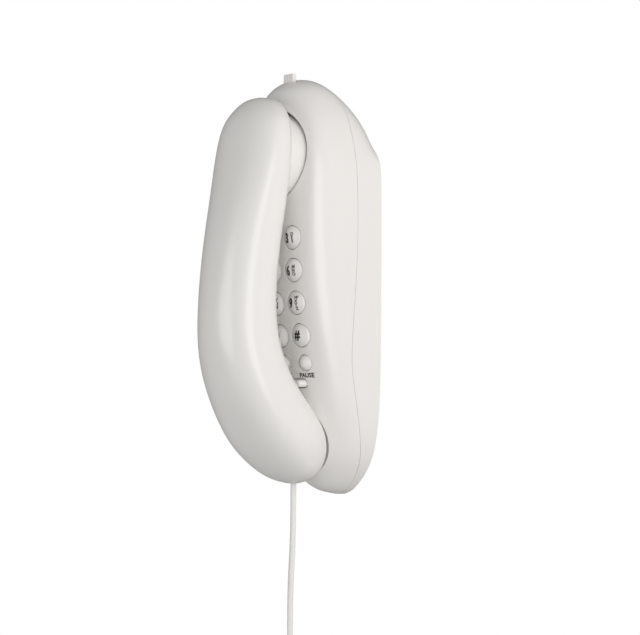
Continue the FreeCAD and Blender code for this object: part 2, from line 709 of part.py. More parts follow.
def board_capacitors():
    """Three standing cans on the board's back."""
    face = -BOARD_THICKNESS
    cans = []
    for x, v, radius, height in CAPACITORS:
        can = Part.makeCylinder(radius, height, V(x, v, face - height))
        rims = [e for e in can.Edges if abs(e.CenterOfMass.z - face + height) < 0.01]
        cans.append(on_board(can.makeFillet(CAN_ROUNDING, rims)))
    return Part.makeCompound(cans)


def board_transistors():
    """Four transistors with a flat side and three legs each."""
    face = -BOARD_THICKNESS
    low = face - TRANSISTOR_STANDOFF - TRANSISTOR_LENGTH
    pieces = []
    for x, v in TRANSISTORS:
        body = Part.makeCylinder(TRANSISTOR_RADIUS, TRANSISTOR_LENGTH, V(x, v, low))
        cut = V(x, v - TRANSISTOR_FLAT - TRANSISTOR_RADIUS, low)
        body = body.cut(block(cut, 3 * TRANSISTOR_RADIUS, 2 * TRANSISTOR_RADIUS, TRANSISTOR_LENGTH))
        parts = [body]
        for k in (-1, 0, 1):
            foot = V(x + k * LEG_SPACING, v, face)
            parts.append(block(foot, LEG_WIDTH, LEG_WIDTH, -TRANSISTOR_STANDOFF - LEG_WIDTH))
        pieces.append(on_board(join(parts)))
    return Part.makeCompound(pieces)


def surge_varistor():
    """Upright disc on two legs."""
    x, v = VARISTOR
    face = -BOARD_THICKNESS
    middle = face - VARISTOR_STANDOFF - VARISTOR_RADIUS
    start = V(x, v - VARISTOR_THICKNESS / 2, middle)
    disc = Part.makeCylinder(VARISTOR_RADIUS, VARISTOR_THICKNESS, start, Y_AXIS)
    length = VARISTOR_STANDOFF + VARISTOR_RADIUS / 4
    legs = []
    for k in (-0.5, 0.5):
        foot = V(x + k * VARISTOR_LEG_SPACING, v, face - length)
        legs.append(Part.makeCylinder(VARISTOR_LEG_RADIUS, length, foot))
    return on_board(join([disc] + legs))


def hook_plunger():
    """Bar that the handset holds in, with a lip behind the base's front wall."""
    low = HOOK_HEIGHT - HOOK_LIP_HEIGHT / 2
    inside = surface_point(BASE_SECTIONS, HOOK_LIP_LENGTH / 2, low, -1).y + BASE_WALL
    lip_front = inside + HOOK_STOP_GAP + HOOK_TRAVEL
    bar = stadium(HOOK_LENGTH, HOOK_THICKNESS, HOOK_TIP, lip_front, HOOK_HEIGHT)
    rim = [e for e in bar.Edges if abs(e.CenterOfMass.y - HOOK_TIP) < 0.01]
    bar = bar.makeFillet(HOOK_ROUNDING, rim)
    lip = stadium(HOOK_LIP_LENGTH, HOOK_LIP_HEIGHT, lip_front, lip_front + HOOK_LIP_THICKNESS, HOOK_HEIGHT)
    return join([bar, lip]), lip_front + HOOK_LIP_THICKNESS


def hook_switch_body(reach):
    """Switch on the board with a round button just behind the bar's lip."""
    x, v, w = board_coordinates(V(0, reach + HOOK_BUTTON_GAP, HOOK_HEIGHT))
    half_width = HOOK_SWITCH_WIDTH / 2
    half_height = HOOK_SWITCH_HEIGHT / 2
    depth = w - HOOK_BUTTON_RISE
    body = box(-half_width, half_width, v - half_height, v + half_height, 0, depth)
    button = Part.makeCylinder(HOOK_BUTTON_RADIUS, w, V(0, v, 0))
    return on_board(join([body, button]))


def screw(head, direction, length):
    """Pan-head screw: head is the seat of its head, direction the way its shank goes."""
    shank = rod(SCREW_RADIUS, head, head + direction * length)
    cap = rod(SCREW_HEAD_RADIUS, head, head - direction * SCREW_HEAD_HEIGHT)
    slot_centre = head - direction * SCREW_HEAD_HEIGHT
    recess = rod(SCREW_RECESS_RADIUS, slot_centre, slot_centre + direction * SCREW_RECESS_DEPTH)
    return join([shank, cap]).cut(recess)


def housing_screws():
    return Part.makeCompound([screw(V(x, -sink, z), -Y_AXIS, SCREW_LENGTH) for x, z, sink in HOUSING_SCREWS])


def board_screws():
    solids = []
    for x, v in BOARD_SCREWS:
        solids.append(on_board(screw(V(x, v, -BOARD_THICKNESS), Z_AXIS, BOARD_SCREW_LENGTH)))
    return Part.makeCompound(solids)


def ringer_holder():
    """Round cup on the inside of the back, open through its middle."""
    back = -BASE_WALL
    front = back - HOLDER_DEPTH
    ring = along_y(HOLDER_RADIUS, 0, HOLDER_LEVEL, back, front)
    seat = along_y(DISC_RADIUS + RIB_CLEARANCE, 0, HOLDER_LEVEL, front, front + DISC_SEAT)
    return ring.cut([seat, along_y(HOLDER_BORE, 0, HOLDER_LEVEL, front, back)])


def ringer_disc():
    seat = -BASE_WALL - HOLDER_DEPTH + DISC_SEAT
    return along_y(DISC_RADIUS, 0, HOLDER_LEVEL, seat, seat - DISC_THICKNESS)


# Microphone's place: on the handset's slanted lower face, looking out of it.
slant = math.radians(MICROPHONE_TILT)
MICROPHONE_WAY = V(0, math.cos(slant), math.sin(slant))
MICROPHONE_FACE = surface_point(HANDSET_SECTIONS, 0, MICROPHONE_LEVEL, 1)
BOOT_FRONT = MICROPHONE_FACE - MICROPHONE_WAY * MICROPHONE_SINK
BOOT_RADIUS = MICROPHONE_RADIUS + BOOT_WALL
CAPSULE_FRONT = BOOT_FRONT - MICROPHONE_WAY * BOOT_WALL
CAPSULE_BACK = CAPSULE_FRONT - MICROPHONE_WAY * MICROPHONE_DEPTH


def handset_cavity():
    """Room inside the handset, less its bosses, ribs and the socket's seat."""
    room = join([
        hull(HANDSET_SECTIONS, HANDSET_WALL),
        along_y(EAR_CUP_RADIUS - HANDSET_WALL, 0, EAR_CUP_HEIGHT, EAR_CUP_ROOT, EAR_CUP_FACE - HANDSET_WALL),
    ])
    inner_face = EAR_CUP_FACE - HANDSET_WALL
    rib = RECEIVER_RADIUS + RIB_CLEARANCE
    ring = along_y(rib + RIB_WALL, 0, EAR_CUP_HEIGHT, inner_face - RIB_REACH, inner_face)
    solids = [
        ring.cut(along_y(rib, 0, EAR_CUP_HEIGHT, -PAST, inner_face)),
        block(HANDSET_JACK, JACK_WIDTH + 2 * JACK_SEAT_WALL, JACK_DEPTH + 2 * JACK_SEAT_WALL, -PAST),
    ]
    for level in HANDSET_SCREWS:
        solids.append(along_y(BOSS_RADIUS, 0, level, -2 * PAST, 0))
    for level in BALLAST_RIBS:
        z = BALLAST_LEVEL + level
        half = BALLAST_RIB_WIDTH / 2
        solids.append(box(-half, half, -2 * PAST, BALLAST_FRONT, z, z + BALLAST_RIB_THICKNESS))
    return room.cut(solids)


def handset_shells():
    """Outer and inner shells, parted along HANDSET_SEAM."""
    cup = along_y(EAR_CUP_RADIUS, 0, EAR_CUP_HEIGHT, EAR_CUP_ROOT, EAR_CUP_FACE)
    rim = [e for e in cup.Edges if abs(e.CenterOfMass.y - EAR_CUP_FACE) < 0.01]
    outer = join([hull(HANDSET_SECTIONS), cup.makeFillet(EAR_CUP_ROUNDING, rim)])
    shell = outer.cut(handset_cavity())
    width = PLUG_WIDTH + 2 * PLUG_CLEARANCE
    depth = PLUG_DEPTH + 2 * PLUG_CLEARANCE
    shell = shell.cut([block(HANDSET_JACK, width, depth, -PAST), tab(TAB_SLOT_CLEARANCE)])
    front = shell.common(side_prism(HANDSET_SEAM, -2 * PAST))
    back = shell.common(side_prism(HANDSET_SEAM, PAST))
    holes = []
    for ring, count in EAR_HOLE_RINGS:
        for k in range(count):
            angle = 2 * math.pi * k / count
            x = ring * math.cos(angle)
            z = EAR_CUP_HEIGHT + ring * math.sin(angle)
            holes.append(along_y(EAR_HOLE_RADIUS, x, z, EAR_CUP_FACE - 2 * HANDSET_WALL, EAR_CUP_FACE + 1))
    for k in (-1, 0, 1):
        start = MICROPHONE_FACE + X_AXIS * k * MICROPHONE_HOLE_SPACING
        ends = [start + MICROPHONE_WAY * HANDSET_WALL, start - MICROPHONE_WAY * MICROPHONE_SINK]
        holes.append(rod(MICROPHONE_HOLE_RADIUS, *ends))
    for level in HANDSET_SCREWS:
        face = surface_point(HANDSET_SECTIONS, 0, level, 1).y
        seat = face - HANDSET_SCREW_SINK
        holes.append(along_y(SCREW_HEAD_RADIUS + PASS_CLEARANCE, 0, level, seat, 0))
        holes.append(along_y(SCREW_RADIUS + PASS_CLEARANCE, 0, level, seat - SCREW_LENGTH, 0))
        front = front.cut(along_y(SCREW_RADIUS + PILOT_CLEARANCE, 0, level, seat - SCREW_LENGTH, 0))
    return front, back.cut(holes)


def handset_screws():
    solids = []
    for level in HANDSET_SCREWS:
        face = surface_point(HANDSET_SECTIONS, 0, level, 1).y
        solids.append(screw(V(0, face - HANDSET_SCREW_SINK, level), -Y_AXIS, SCREW_LENGTH))
    return Part.makeCompound(solids)


def receiver_gasket():
    face = EAR_CUP_FACE - HANDSET_WALL
    ring = along_y(RECEIVER_RADIUS, 0, EAR_CUP_HEIGHT, face - GASKET_THICKNESS, face)
    return ring.cut(along_y(RECEIVER_RADIUS - GASKET_WIDTH, 0, EAR_CUP_HEIGHT, face - GASKET_THICKNESS, face))


def receiver_capsule():
    """Stepped round capsule behind the ear cup's holes."""
    front = EAR_CUP_FACE - HANDSET_WALL - GASKET_THICKNESS
    step = front - RECEIVER_DEPTH / 2
    wide = along_y(RECEIVER_RADIUS, 0, EAR_CUP_HEIGHT, step, front)
    return join([wide, along_y(RECEIVER_BACK_RADIUS, 0, EAR_CUP_HEIGHT, front - RECEIVER_DEPTH, step)])


def microphone_boot():
    outer = rod(BOOT_RADIUS, BOOT_FRONT, CAPSULE_BACK)
    mouth = rod(BOOT_MOUTH_RADIUS, BOOT_FRONT, CAPSULE_BACK)
    return outer.cut([mouth, rod(MICROPHONE_RADIUS, CAPSULE_FRONT, CAPSULE_BACK)])


def microphone_capsule():
    return rod(MICROPHONE_RADIUS, CAPSULE_FRONT, CAPSULE_BACK)


def handset_ballast():
    """Steel weight on two ribs of the outer shell."""
    low = BALLAST_LEVEL - BALLAST_LENGTH / 2
    half = BALLAST_WIDTH / 2
    bar = box(-half, half, BALLAST_FRONT, BALLAST_FRONT + BALLAST_DEPTH, low, low + BALLAST_LENGTH)
    return bar.makeChamfer(BALLAST_CHAMFER, bar.Edges)


def tube(points, radius, name):
    """Round tube along straight runs joined by tangent arcs; prints its smallest radius."""
    edges = []
    radii = []
    start = points[0]
    for before, corner, after in zip(points, points[1:], points[2:]):
        arrive = corner - before
        leave = after - corner
        half_turn = arrive.getAngle(leave) / 2
        setback = 0.45 * min(arrive.Length, leave.Length)
        bend = setback / math.tan(half_turn)
        radii.append(bend)
        unit_in = V(arrive).normalize()
        unit_out = V(leave).normalize()
        first = corner - unit_in * setback
        last = corner + unit_out * setback
        inward = (unit_out - unit_in).normalize()
        middle = corner + inward * bend * (1 / math.cos(half_turn) - 1)
        edges.append(Part.LineSegment(start, first).toShape())
        edges.append(Part.Arc(first, middle, last).toShape())
        start = last
    edges.append(Part.LineSegment(start, points[-1]).toShape())
    length = sum(e.Length for e in edges)
    solid = sweep(edges, radius)
    wanted = math.pi * radius ** 2 * length
    print(f"{name}: length {length:.1f}, least bend {min(radii):.0f}, volume {solid.Volume / wanted:.4f}")
    return solid


def sweep(edges, radius):
    path = Part.Wire(edges)
    begin = edges[0].valueAt(edges[0].FirstParameter)
    way = edges[0].tangentAt(edges[0].FirstParameter)
    profile = Part.Wire(Part.Circle(begin, way, radius).toShape())
    return path.makePipeShell([profile], True, False)


def biarc(p0, t0, p1, t1):
    """Two arcs from p0 along t0 to p1 along t1, tangent where they meet."""
    v = p1 - p0
    t = t0 + t1
    spread = 2 * (1 - t0.dot(t1))
    along = v.dot(t)
    if spread < 1e-9:
        d = v.dot(v) / (4 * v.dot(t1))
    else:
        d = (-along + math.sqrt(along ** 2 + spread * v.dot(v))) / spread
    meet = ((p0 + t0 * d) + (p1 - t1 * d)) * 0.5
    leave = (p1 - t1 * d - p0 - t0 * d).normalize()
    return [arc(p0, t0, meet), arc(meet, leave, p1)]


def arc(start, way, end):
    """Arc that leaves start along way and ends at end, and its radius."""
    chord = end - start
    side = chord - way * chord.dot(way)
    if side.Length < 1e-6:
        return Part.LineSegment(start, end).toShape(), math.inf
    angle = way.getAngle(chord)
    aside = side - chord * side.dot(chord) / chord.dot(chord)
    outward = (way - chord * way.dot(chord) / chord.dot(chord)).normalize()
    middle = start + chord * 0.5 + outward * chord.Length / 2 * math.tan(angle / 2)
    return Part.Arc(start, middle, end).toShape(), chord.Length / (2 * math.sin(angle))


def bow_curve():
    """Middle line of the curls: a quadratic curve that hangs between the two leads."""
    top = lead_points(plug_end(HANDSET_JACK))[-1]
    half = [(s, -drop) for s, drop in BOW]
    poles = half + [(LEAD_SPACING - s, z) for s, z in reversed(half)]
    poles = [top + LEAD_SIDE * s + Z_AXIS * z for s, z in poles]
    spans = len(poles) - 2
    knots = [k / spans for k in range(spans + 1)]
    curve = Part.BSplineCurve()
    curve.buildFromPolesMultsKnots(poles, [3] + [1] * (spans - 1) + [3], knots, False, 2)
    return curve


def lead_points(start):
    return [start + V(*offset) for offset in HANDSET_LEAD]


def base_lead_points():
    """The handset's lead moved aside, with a straight run up to the base's plug."""
    side = LEAD_SIDE * LEAD_SPACING
    return [plug_end(BASE_JACK)] + [p + side for p in lead_points(plug_end(HANDSET_JACK))]


def curly_cord():
    """One unbroken helix round the bow. The wire winds up gently from each lead, which
    lies on the curls' outside, so the bend is never tighter than the curls' radius."""
    curve = bow_curve()
    total = curve.length()
    across = LEAD_SIDE.cross(Z_AXIS)
    rate = 2 * math.pi * CURLS / (total - CURL_START)

    def turned(s):
        """Angle wound after s along the bow: the rate grows from nothing over CURL_START."""
        if s > total / 2:
            return 2 * math.pi * CURLS - turned(total - s)
        if s < CURL_START:
            return rate * s ** 2 / (2 * CURL_START)
        return rate * (s - CURL_START / 2)

    def reached(angle):
        """Distance along the bow where an angle is reached."""
        if angle > math.pi * CURLS:
            return total - reached(2 * math.pi * CURLS - angle)
        if angle < rate * CURL_START / 2:
            return math.sqrt(2 * CURL_START * angle / rate)
        return angle / rate + CURL_START / 2

    def wire(s):
        """Middle of the wire at s along the bow."""
        u = curve.parameterAtDistance(min(max(s, 0), total), curve.FirstParameter)
        along = V(curve.tangent(u)[0])
        inward = across.cross(along)
        angle = turned(s)
        return curve.value(u) + (inward * math.cos(angle) + across * math.sin(angle)) * CURL_RADIUS

    def way(s):
        step = 1e-3
        return (wire(s + step) - wire(s - step)).normalize()

    quarters = [k * math.pi / 2 for k in range(8)]
    halves = [4 * math.pi + k * math.pi for k in range(2 * CURLS - 7)]
    angles = quarters + halves + [2 * math.pi * CURLS - a for a in reversed(quarters)]
    stops = [reached(a) for a in angles]
    places = [wire(s) for s in stops]
    down = V(0, 0, -1)
    ways = [down] + [way(s) for s in stops[1:-1]] + [Z_AXIS]
    edges = [Part.LineSegment(places[0] - down * CORD_DIAMETER, places[0]).toShape()]
    radii = []
    for k in range(len(stops) - 1):
        for edge, radius in biarc(places[k], ways[k], places[k + 1], ways[k + 1]):
            edges.append(edge)
            radii.append(radius)
    edges.append(Part.LineSegment(places[-1], places[-1] + Z_AXIS * CORD_DIAMETER).toShape())
    length = sum(e.Length for e in edges)
    print(f"curly cord: {CURLS} curls, bow {total:.0f}, wire {length:.0f}, least radius {min(radii):.2f}")
    print(f"curly cord: least gap to itself {least_gap(edges):.2f}")
    return sweep(edges, CORD_DIAMETER / 2)


def least_gap(edges):
    """Least gap of the wound wire to itself, measured on points of its middle line."""
    points = []
    passed = 0.0
    for edge in edges:
        count = max(2, int(edge.Length / 1.2))
        for p in edge.discretize(count + 1)[:-1]:
            points.append((passed + (p - edge.Vertexes[0].Point).Length, p))
        passed += edge.Length
    reach = 3 * math.pi * CURL_RADIUS
    far = 2 * CORD_DIAMETER
    cells = {}
    least = math.inf
    for s, p in points:
        home = (int(p.x // far), int(p.y // far), int(p.z // far))
        for i in range(-1, 2):
            for j in range(-1, 2):
                for k in range(-1, 2):
                    for s2, q in cells.get((home[0] + i, home[1] + j, home[2] + k), []):
                        if s - s2 > reach / 2:
                            least = min(least, (p - q).Length)
        cells.setdefault(home, []).append((s, p))
    return least - CORD_DIAMETER


def build():
    """All the nodes by name."""
    nodes = {}
    nodes["base_front_housing"], nodes["base_back_housing"] = base_housings()
    nodes["keypad_mat"] = keypad_mat()
    nodes["main_board"] = main_board()
    nodes["dialler_chip"] = dialler_chip()
    nodes["board_capacitors"] = board_capacitors()
    nodes["board_transistors"] = board_transistors()
    nodes["surge_varistor"] = surge_varistor()
    nodes["hook_plunger"], reach = hook_plunger()
    nodes["hook_switch_body"] = hook_switch_body(reach)
    nodes["ringer_knob"] = ringer_knob()
    nodes["ringer_switch_body"] = ringer_switch_body()
    nodes["ringer_holder"] = ringer_holder()
    nodes["ringer_disc"] = ringer_disc()
    nodes["line_jack"] = line_jack()
    nodes["base_cord_jack"] = cord_jack(BASE_JACK)
    nodes["housing_screws"] = housing_screws()
    nodes["board_screws"] = board_screws()
    nodes["handset_hook"] = handset_hook()
    for name, radius, x, v, top in keys():
        nodes[name] = key(radius, x, v, top)
    nodes["handset_outer_shell"], nodes["handset_inner_shell"] = handset_shells()
    nodes["receiver_capsule"] = receiver_capsule()
    nodes["receiver_gasket"] = receiver_gasket()
    nodes["microphone_capsule"] = microphone_capsule()
    nodes["microphone_boot"] = microphone_boot()
    nodes["handset_ballast"] = handset_ballast()
    nodes["handset_jack"] = cord_jack(HANDSET_JACK)
    nodes["handset_screws"] = handset_screws()
    nodes["handset_cord_plug"] = cord_plug(HANDSET_JACK)
    nodes["base_cord_plug"] = cord_plug(BASE_JACK)
    nodes["handset_cord_lead"] = tube(lead_points(plug_end(HANDSET_JACK)), CORD_DIAMETER / 2, "handset lead")
    nodes["base_cord_lead"] = tube(base_lead_points(), CORD_DIAMETER / 2, "base lead")
    nodes["curly_cord"] = curly_cord()
    return nodes


def main():
    os.makedirs("parts", exist_ok=True)
    for name, shape in build().items():
        bounds = shape.BoundBox
        print(
            f"{name}: solids {len(shape.Solids)}, valid {shape.isValid()}, volume {shape.Volume:.0f}, "
            f"x {bounds.XMin:.1f} {bounds.XMax:.1f}, y {bounds.YMin:.1f} {bounds.YMax:.1f}, "
            f"z {bounds.ZMin:.1f} {bounds.ZMax:.1f}"
        )
        shape.exportStep(f"parts/{name}.step")


main()
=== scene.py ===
"""Corded telephone for a wall: its visible pieces, finishes, cord, stage and camera.

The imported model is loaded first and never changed. The shapes below are worked out in
millimetres and put into meshes in metres, in the model's own frame: the wall is y = 0,
the front looks along -y, x runs to the right of someone facing the phone, z is up.
"""

import json
import math
from collections import namedtuple

import bmesh
import bpy
import numpy as np
from bpy.props import FloatProperty, FloatVectorProperty, IntProperty, PointerProperty
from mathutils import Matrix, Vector

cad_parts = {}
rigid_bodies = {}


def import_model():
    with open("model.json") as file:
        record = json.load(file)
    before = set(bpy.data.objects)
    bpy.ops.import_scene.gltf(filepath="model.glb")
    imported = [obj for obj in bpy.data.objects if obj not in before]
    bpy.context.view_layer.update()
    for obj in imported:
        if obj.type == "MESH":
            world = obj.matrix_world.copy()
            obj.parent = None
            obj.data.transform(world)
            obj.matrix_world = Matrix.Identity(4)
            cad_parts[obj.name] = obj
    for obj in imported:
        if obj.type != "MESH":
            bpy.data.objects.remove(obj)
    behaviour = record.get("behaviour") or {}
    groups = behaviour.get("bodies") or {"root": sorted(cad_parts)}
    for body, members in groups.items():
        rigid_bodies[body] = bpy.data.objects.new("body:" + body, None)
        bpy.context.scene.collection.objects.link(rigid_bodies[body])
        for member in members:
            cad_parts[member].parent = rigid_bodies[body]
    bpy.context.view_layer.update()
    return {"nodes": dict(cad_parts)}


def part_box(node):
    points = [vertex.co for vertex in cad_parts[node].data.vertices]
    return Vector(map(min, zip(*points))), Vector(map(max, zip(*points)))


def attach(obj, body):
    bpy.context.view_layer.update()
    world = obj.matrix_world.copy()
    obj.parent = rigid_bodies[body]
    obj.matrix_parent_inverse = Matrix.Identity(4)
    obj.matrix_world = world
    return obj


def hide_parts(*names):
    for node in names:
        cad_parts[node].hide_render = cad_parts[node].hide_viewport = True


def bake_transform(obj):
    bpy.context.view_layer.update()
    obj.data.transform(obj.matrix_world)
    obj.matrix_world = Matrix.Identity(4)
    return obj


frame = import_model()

bl_info = {
    "name": "Wall telephone",
    "version": (1, 0, 0),
    "blender": (4, 5, 0),
    "location": "View3D > Sidebar > Telephone",
    "description": "Builds the visible pieces of a corded wall telephone around its CAD frame",
    "category": "Object",
}

MM = 0.001

# Height, front, back, half width and squareness of each level section, from the top.
BASE_SECTIONS = np.array([
    (108.8, -30.5, -26.5, 2.0, 2.0),
    (108.0, -34.6, -22.6, 7.0, 2.0),
    (106.0, -38.8, -18.2, 12.0, 2.1),
    (102.0, -43.4, -12.4, 17.2, 2.2),
    (96.0, -46.4, -6.0, 21.6, 2.4),
    (88.0, -47.6, -1.0, 25.6, 2.9),
    (78.0, -47.4, 2.0, 28.8, 3.8),
    (68.0, -47.2, 8.0, 30.8, 4.5),
    (58.0, -47.2, 24.0, 31.8, 5.0),
    (42.0, -47.3, 36.0, 32.0, 5.2),
    (20.0, -47.0, 38.0, 32.0, 5.0),
    (0.0, -45.8, 37.0, 31.8, 4.6),
    (-20.0, -43.1, 36.0, 31.6, 4.1),
    (-40.0, -39.1, 35.0, 31.2, 3.6),
    (-60.0, -35.0, 33.4, 30.4, 3.1),
    (-76.0, -32.0, 32.0, 28.4, 2.7),
    (-88.0, -29.0, 29.0, 25.0, 2.5),
    (-97.0, -25.0, 25.0, 19.4, 2.3),
    (-103.0, -20.0, 20.0, 13.4, 2.15),
    (-106.6, -13.4, 13.4, 8.2, 2.0),
    (-108.6, -4.0, 4.0, 2.5, 2.0),
])
HANDSET_SECTIONS = np.array([
    (97.2, -57.0, -53.0, 2.0, 2.0),
    (96.0, -60.9, -49.6, 9.0, 2.1),
    (93.0, -64.2, -47.6, 14.6, 2.2),
    (88.0, -67.4, -46.6, 19.4, 2.35),
    (80.0, -70.2, -46.4, 23.2, 2.5),
    (66.0, -73.2, -46.8, 25.0, 2.5),
    (48.0, -77.3, -48.4, 24.0, 2.5),
    (28.0, -81.9, -50.8, 22.6, 2.5),
    (8.0, -85.2, -53.2, 22.0, 2.5),
    (-12.0, -87.0, -54.0, 22.0, 2.5),
    (-30.0, -86.4, -52.0, 22.8, 2.6),
    (-46.0, -82.8, -45.6, 24.2, 2.7),
    (-60.0, -76.6, -36.0, 25.6, 2.9),
    (-72.0, -69.4, -27.6, 26.4, 3.1),
    (-82.0, -62.6, -23.8, 25.6, 3.0),
    (-90.0, -55.6, -23.4, 23.0, 2.7),
    (-96.0, -48.8, -25.2, 19.0, 2.4),
    (-100.2, -42.2, -28.0, 12.4, 2.2),
    (-102.4, -36.0, -32.0, 3.0, 2.0),
])
# Side view of the parting lines: height and depth.
BASE_SEAM = np.array([
    (112.8, -19.0), (76.0, -17.4), (24.0, -16.4), (-24.0, -19.2),
    (-46.0, -18.4), (-66.0, -14.0), (-98.0, -6.0), (-112.6, -4.0),
])
HANDSET_SEAM = np.array([
    (101.2, -53.2), (66.0, -54.0), (40.0, -55.2), (8.0, -58.6), (-16.0, -59.0),
    (-40.0, -52.5), (-62.0, -38.0), (-80.0, -28.6), (-106.4, -27.6),
])
BASE_WALL = 2.2
HANDSET_WALL = 2.0

# Rows and columns of the grids that the shells, the mouth's hollow and the rooms are
# worked out on.
BASE_GRID = (260, 176)
HANDSET_GRID = (260, 168)
MOUTH_GRID = (200, 160)
ROOM_GRID = (120, 88)

# How far a cutter stands out of what it opens, how much two joined shapes overlap, and
# a distance that is outside every piece.
PAST = 1.0
OVERLAP = 0.1
REACH = 130.0

# To the right, into the wall, out of it, and up.
ACROSS = np.array([1.0, 0.0, 0.0])
INWARD = np.array([0.0, 1.0, 0.0])
OUTWARD = np.array([0.0, -1.0, 0.0])
UPRIGHT = np.array([0.0, 0.0, 1.0])
# Directions that no rod and no cord takes, from which their rings start.
ROD_SIDE = (0.31, 0.52, 0.79)
CORD_SIDE = (0.3, 0.9, 0.1)

# Sides of what is round, and the steps by which splines are followed.
CUP_SIDES = 144
RECESS_SIDES = 128
RING_SIDES = 96
KEY_SIDES = 72
KEY_HOLE_SIDES = 64
PILLAR_SIDES = 32
HOLE_SIDES = 24
SCREW_SIDES = 20
FINE_STEPS = 4001
ROW_STEPS = 2000
SEAM_STEPS = 160

# Recesses of the base and the handset's ear cup.
EAR_CUP_RADIUS = 23.2
EAR_CUP_HEIGHT = 66.9
EAR_CUP_FACE = -41.0
EAR_CUP_ROOT = -55.0
EAR_CUP_ROUNDING = 1.6
EAR_RECESS_RADIUS = 24.6
EAR_RECESS_HEIGHT = 67.8
EAR_RECESS_FLOOR = -39.6
MOUTH_GAP = 1.6
MOUTH_RECESS_TOP = -54.0
EAR_HOLES = [(0.0, 1), (4.5, 6), (9.0, 12)]
EAR_HOLE_RADIUS = 0.9
EAR_HOLE_DEPTH = 4.0

# Inside the handset: the receiver's ring, with its run from the cup's inner face, and
# the ribs that carry the ballast.
RECEIVER_RING_RADII = (19.6, 18.2)
RECEIVER_RING_RUN = (-5.0, 0.5)
RIB_LEVELS = (-22.0, 6.0)
RIB_HALF_WIDTH = 7.5
RIB_EDGE = -77.0
RIB_THICKNESS = 2.0

# Holes before the microphone, and how far they run from the surface.
MICROPHONE_SLANT = math.radians(33.0)
MICROPHONE_HEIGHT = -68.0
MICROPHONE_PITCH = 3.4
MICROPHONE_HOLE_RADIUS = 0.8
MICROPHONE_HOLE_RUN = (-1.5, 3.0)

# Tab that the handset hangs on, its room in each half, and the line that the handset
# leaves along.
LIFT_ANGLE = math.radians(15.0)
TAB_HEIGHT = 36.5
TAB_HALF_SIZE = (5.0, 1.3)
TAB_RUN = (-3.2, 6.6)
BASE_TAB_GAP = 0.3
HANDSET_TAB_GAP = 0.6

# Openings in the base: the ringer knob's slot, the line socket's opening, and the
# keyholes by which the phone hangs on the wall.
RINGER_SLOT = ((-6.5, -37.2, 99.5), (6.5, -34.0, 111.4))
LINE_OPENING = ((-5.0, -5.0, -31.5), (5.0, PAST, -24.5))
KEYHOLE_LEVELS = (49.2, -49.2)
KEYHOLE_HEAD_RADIUS = 4.6
KEYHOLE_NECK_RADIUS = 2.2
KEYHOLE_RISE = 8.0
KEYHOLE_DEPTH = 5.0

# The keypad's board axes: x across, BOARD_UP along the board, BOARD_OUT to the keys.
TILT = math.radians(6.6)
BOARD_ORIGIN = np.array([0.0, -30.0, -7.0])
BOARD_UP = np.array([0.0, -math.sin(TILT), math.cos(TILT)])
BOARD_OUT = np.array([0.0, -math.cos(TILT), -math.sin(TILT)])
KEY_RADIUS = 6.0
FUNCTION_KEY_RADIUS = 4.1
KEY_PITCH = 15.2
KEY_ROWS = (24.4, 7.7, -9.0, -25.7, -39.8)
KEY_PROUD = 2.1
KEY_CROWN = 2.0
KEY_ROUNDING = 0.6
KEY_GAP = 0.3
KEY_FOOT = 3.3
KEY_LIP = 1.3
KEY_LIP_TOP = 4.3
COLLAR_END = 4.7
COLLAR_WALL = 1.0
# Height over the board that is outside the base, and how far its screws go in.
BOARD_REACH = 30.0
BOARD_SCREW_LENGTH = 7.0
KEYS = (
    (("key_1", "1", ""), ("key_2", "2", "ABC"), ("key_3", "3", "DEF")),
    (("key_4", "4", "GHI"), ("key_5", "5", "JKL"), ("key_6", "6", "MNO")),
    (("key_7", "7", "PQRS"), ("key_8", "8", "TUV"), ("key_9", "9", "WXYZ")),
    (("key_star", "*", ""), ("key_0", "0", ""), ("key_hash", "#", "")),
    (("key_flash", "", "FLASH"), ("key_redial", "", "REDIAL"), ("key_pause", "", "PAUSE")),
)

HOOK_HEIGHT = -50.3
HOOK_LENGTH = 29.0
HOOK_THICKNESS = 4.0
HOOK_TIP = -40.9
HOOK_ROUNDING = 1.9
HOOK_GAP = 0.4
HOOK_LIP = (32.0, 7.0, 1.0)
HOOK_HOLE_START = 20.0

# Rounds on the edges of the holes in the base: the angles at which they are drawn, the
# flare beyond them, and the first guess and the rounds that find the base's surface.
EASE_ANGLES = np.radians((20.0, 40.0, 55.0, 70.0))
EASE_FLARE = 0.6
EASE_RISES = (0.2, 8.0)
SURFACE_GUESS = 10.0
SURFACE_ROUNDS = 8

# Cord sockets, plugs and the notch under the base's socket.
HANDSET_JACK = np.array([0.0, -33.0, -95.5])
BASE_JACK = np.array([-18.3, -18.3, -71.5])
JACK_SIZE = (9.6, 8.6, 14.0)
JACK_FLOOR = 2.0
SOCKET_WALLS = 2.4
PLUG_HOLE = (7.9, 6.7)
NOTCH = (9.4, 8.2)

# Cord: points of the handset's lead below its plug, spacing and side of the base's
# lead, and half of the curls' bow as distance aside and depth below the lead's end.
HANDSET_PLUG_END = np.array([0.0, -33.0, -101.0])
BASE_PLUG_END = np.array([-18.3, -18.3, -77.0])
LEAD = np.array([(0.0, 0.0, 0.0), (0.2, -0.3, -28.0), (-1.1, -1.4, -60.0), (-1.1, -1.4, -89.0)])
LEAD_SPACING = 23.5
LEAD_SIDE = np.array([-0.779, 0.627, 0.0])
BOW = np.array([
    (-4.6, 2.9), (-4.6, 16.0), (-9.0, 36.0), (-15.5, 58.0),
    (-19.5, 80.0), (-19.0, 100.0), (-11.5, 118.0), (3.5, 128.5),
])

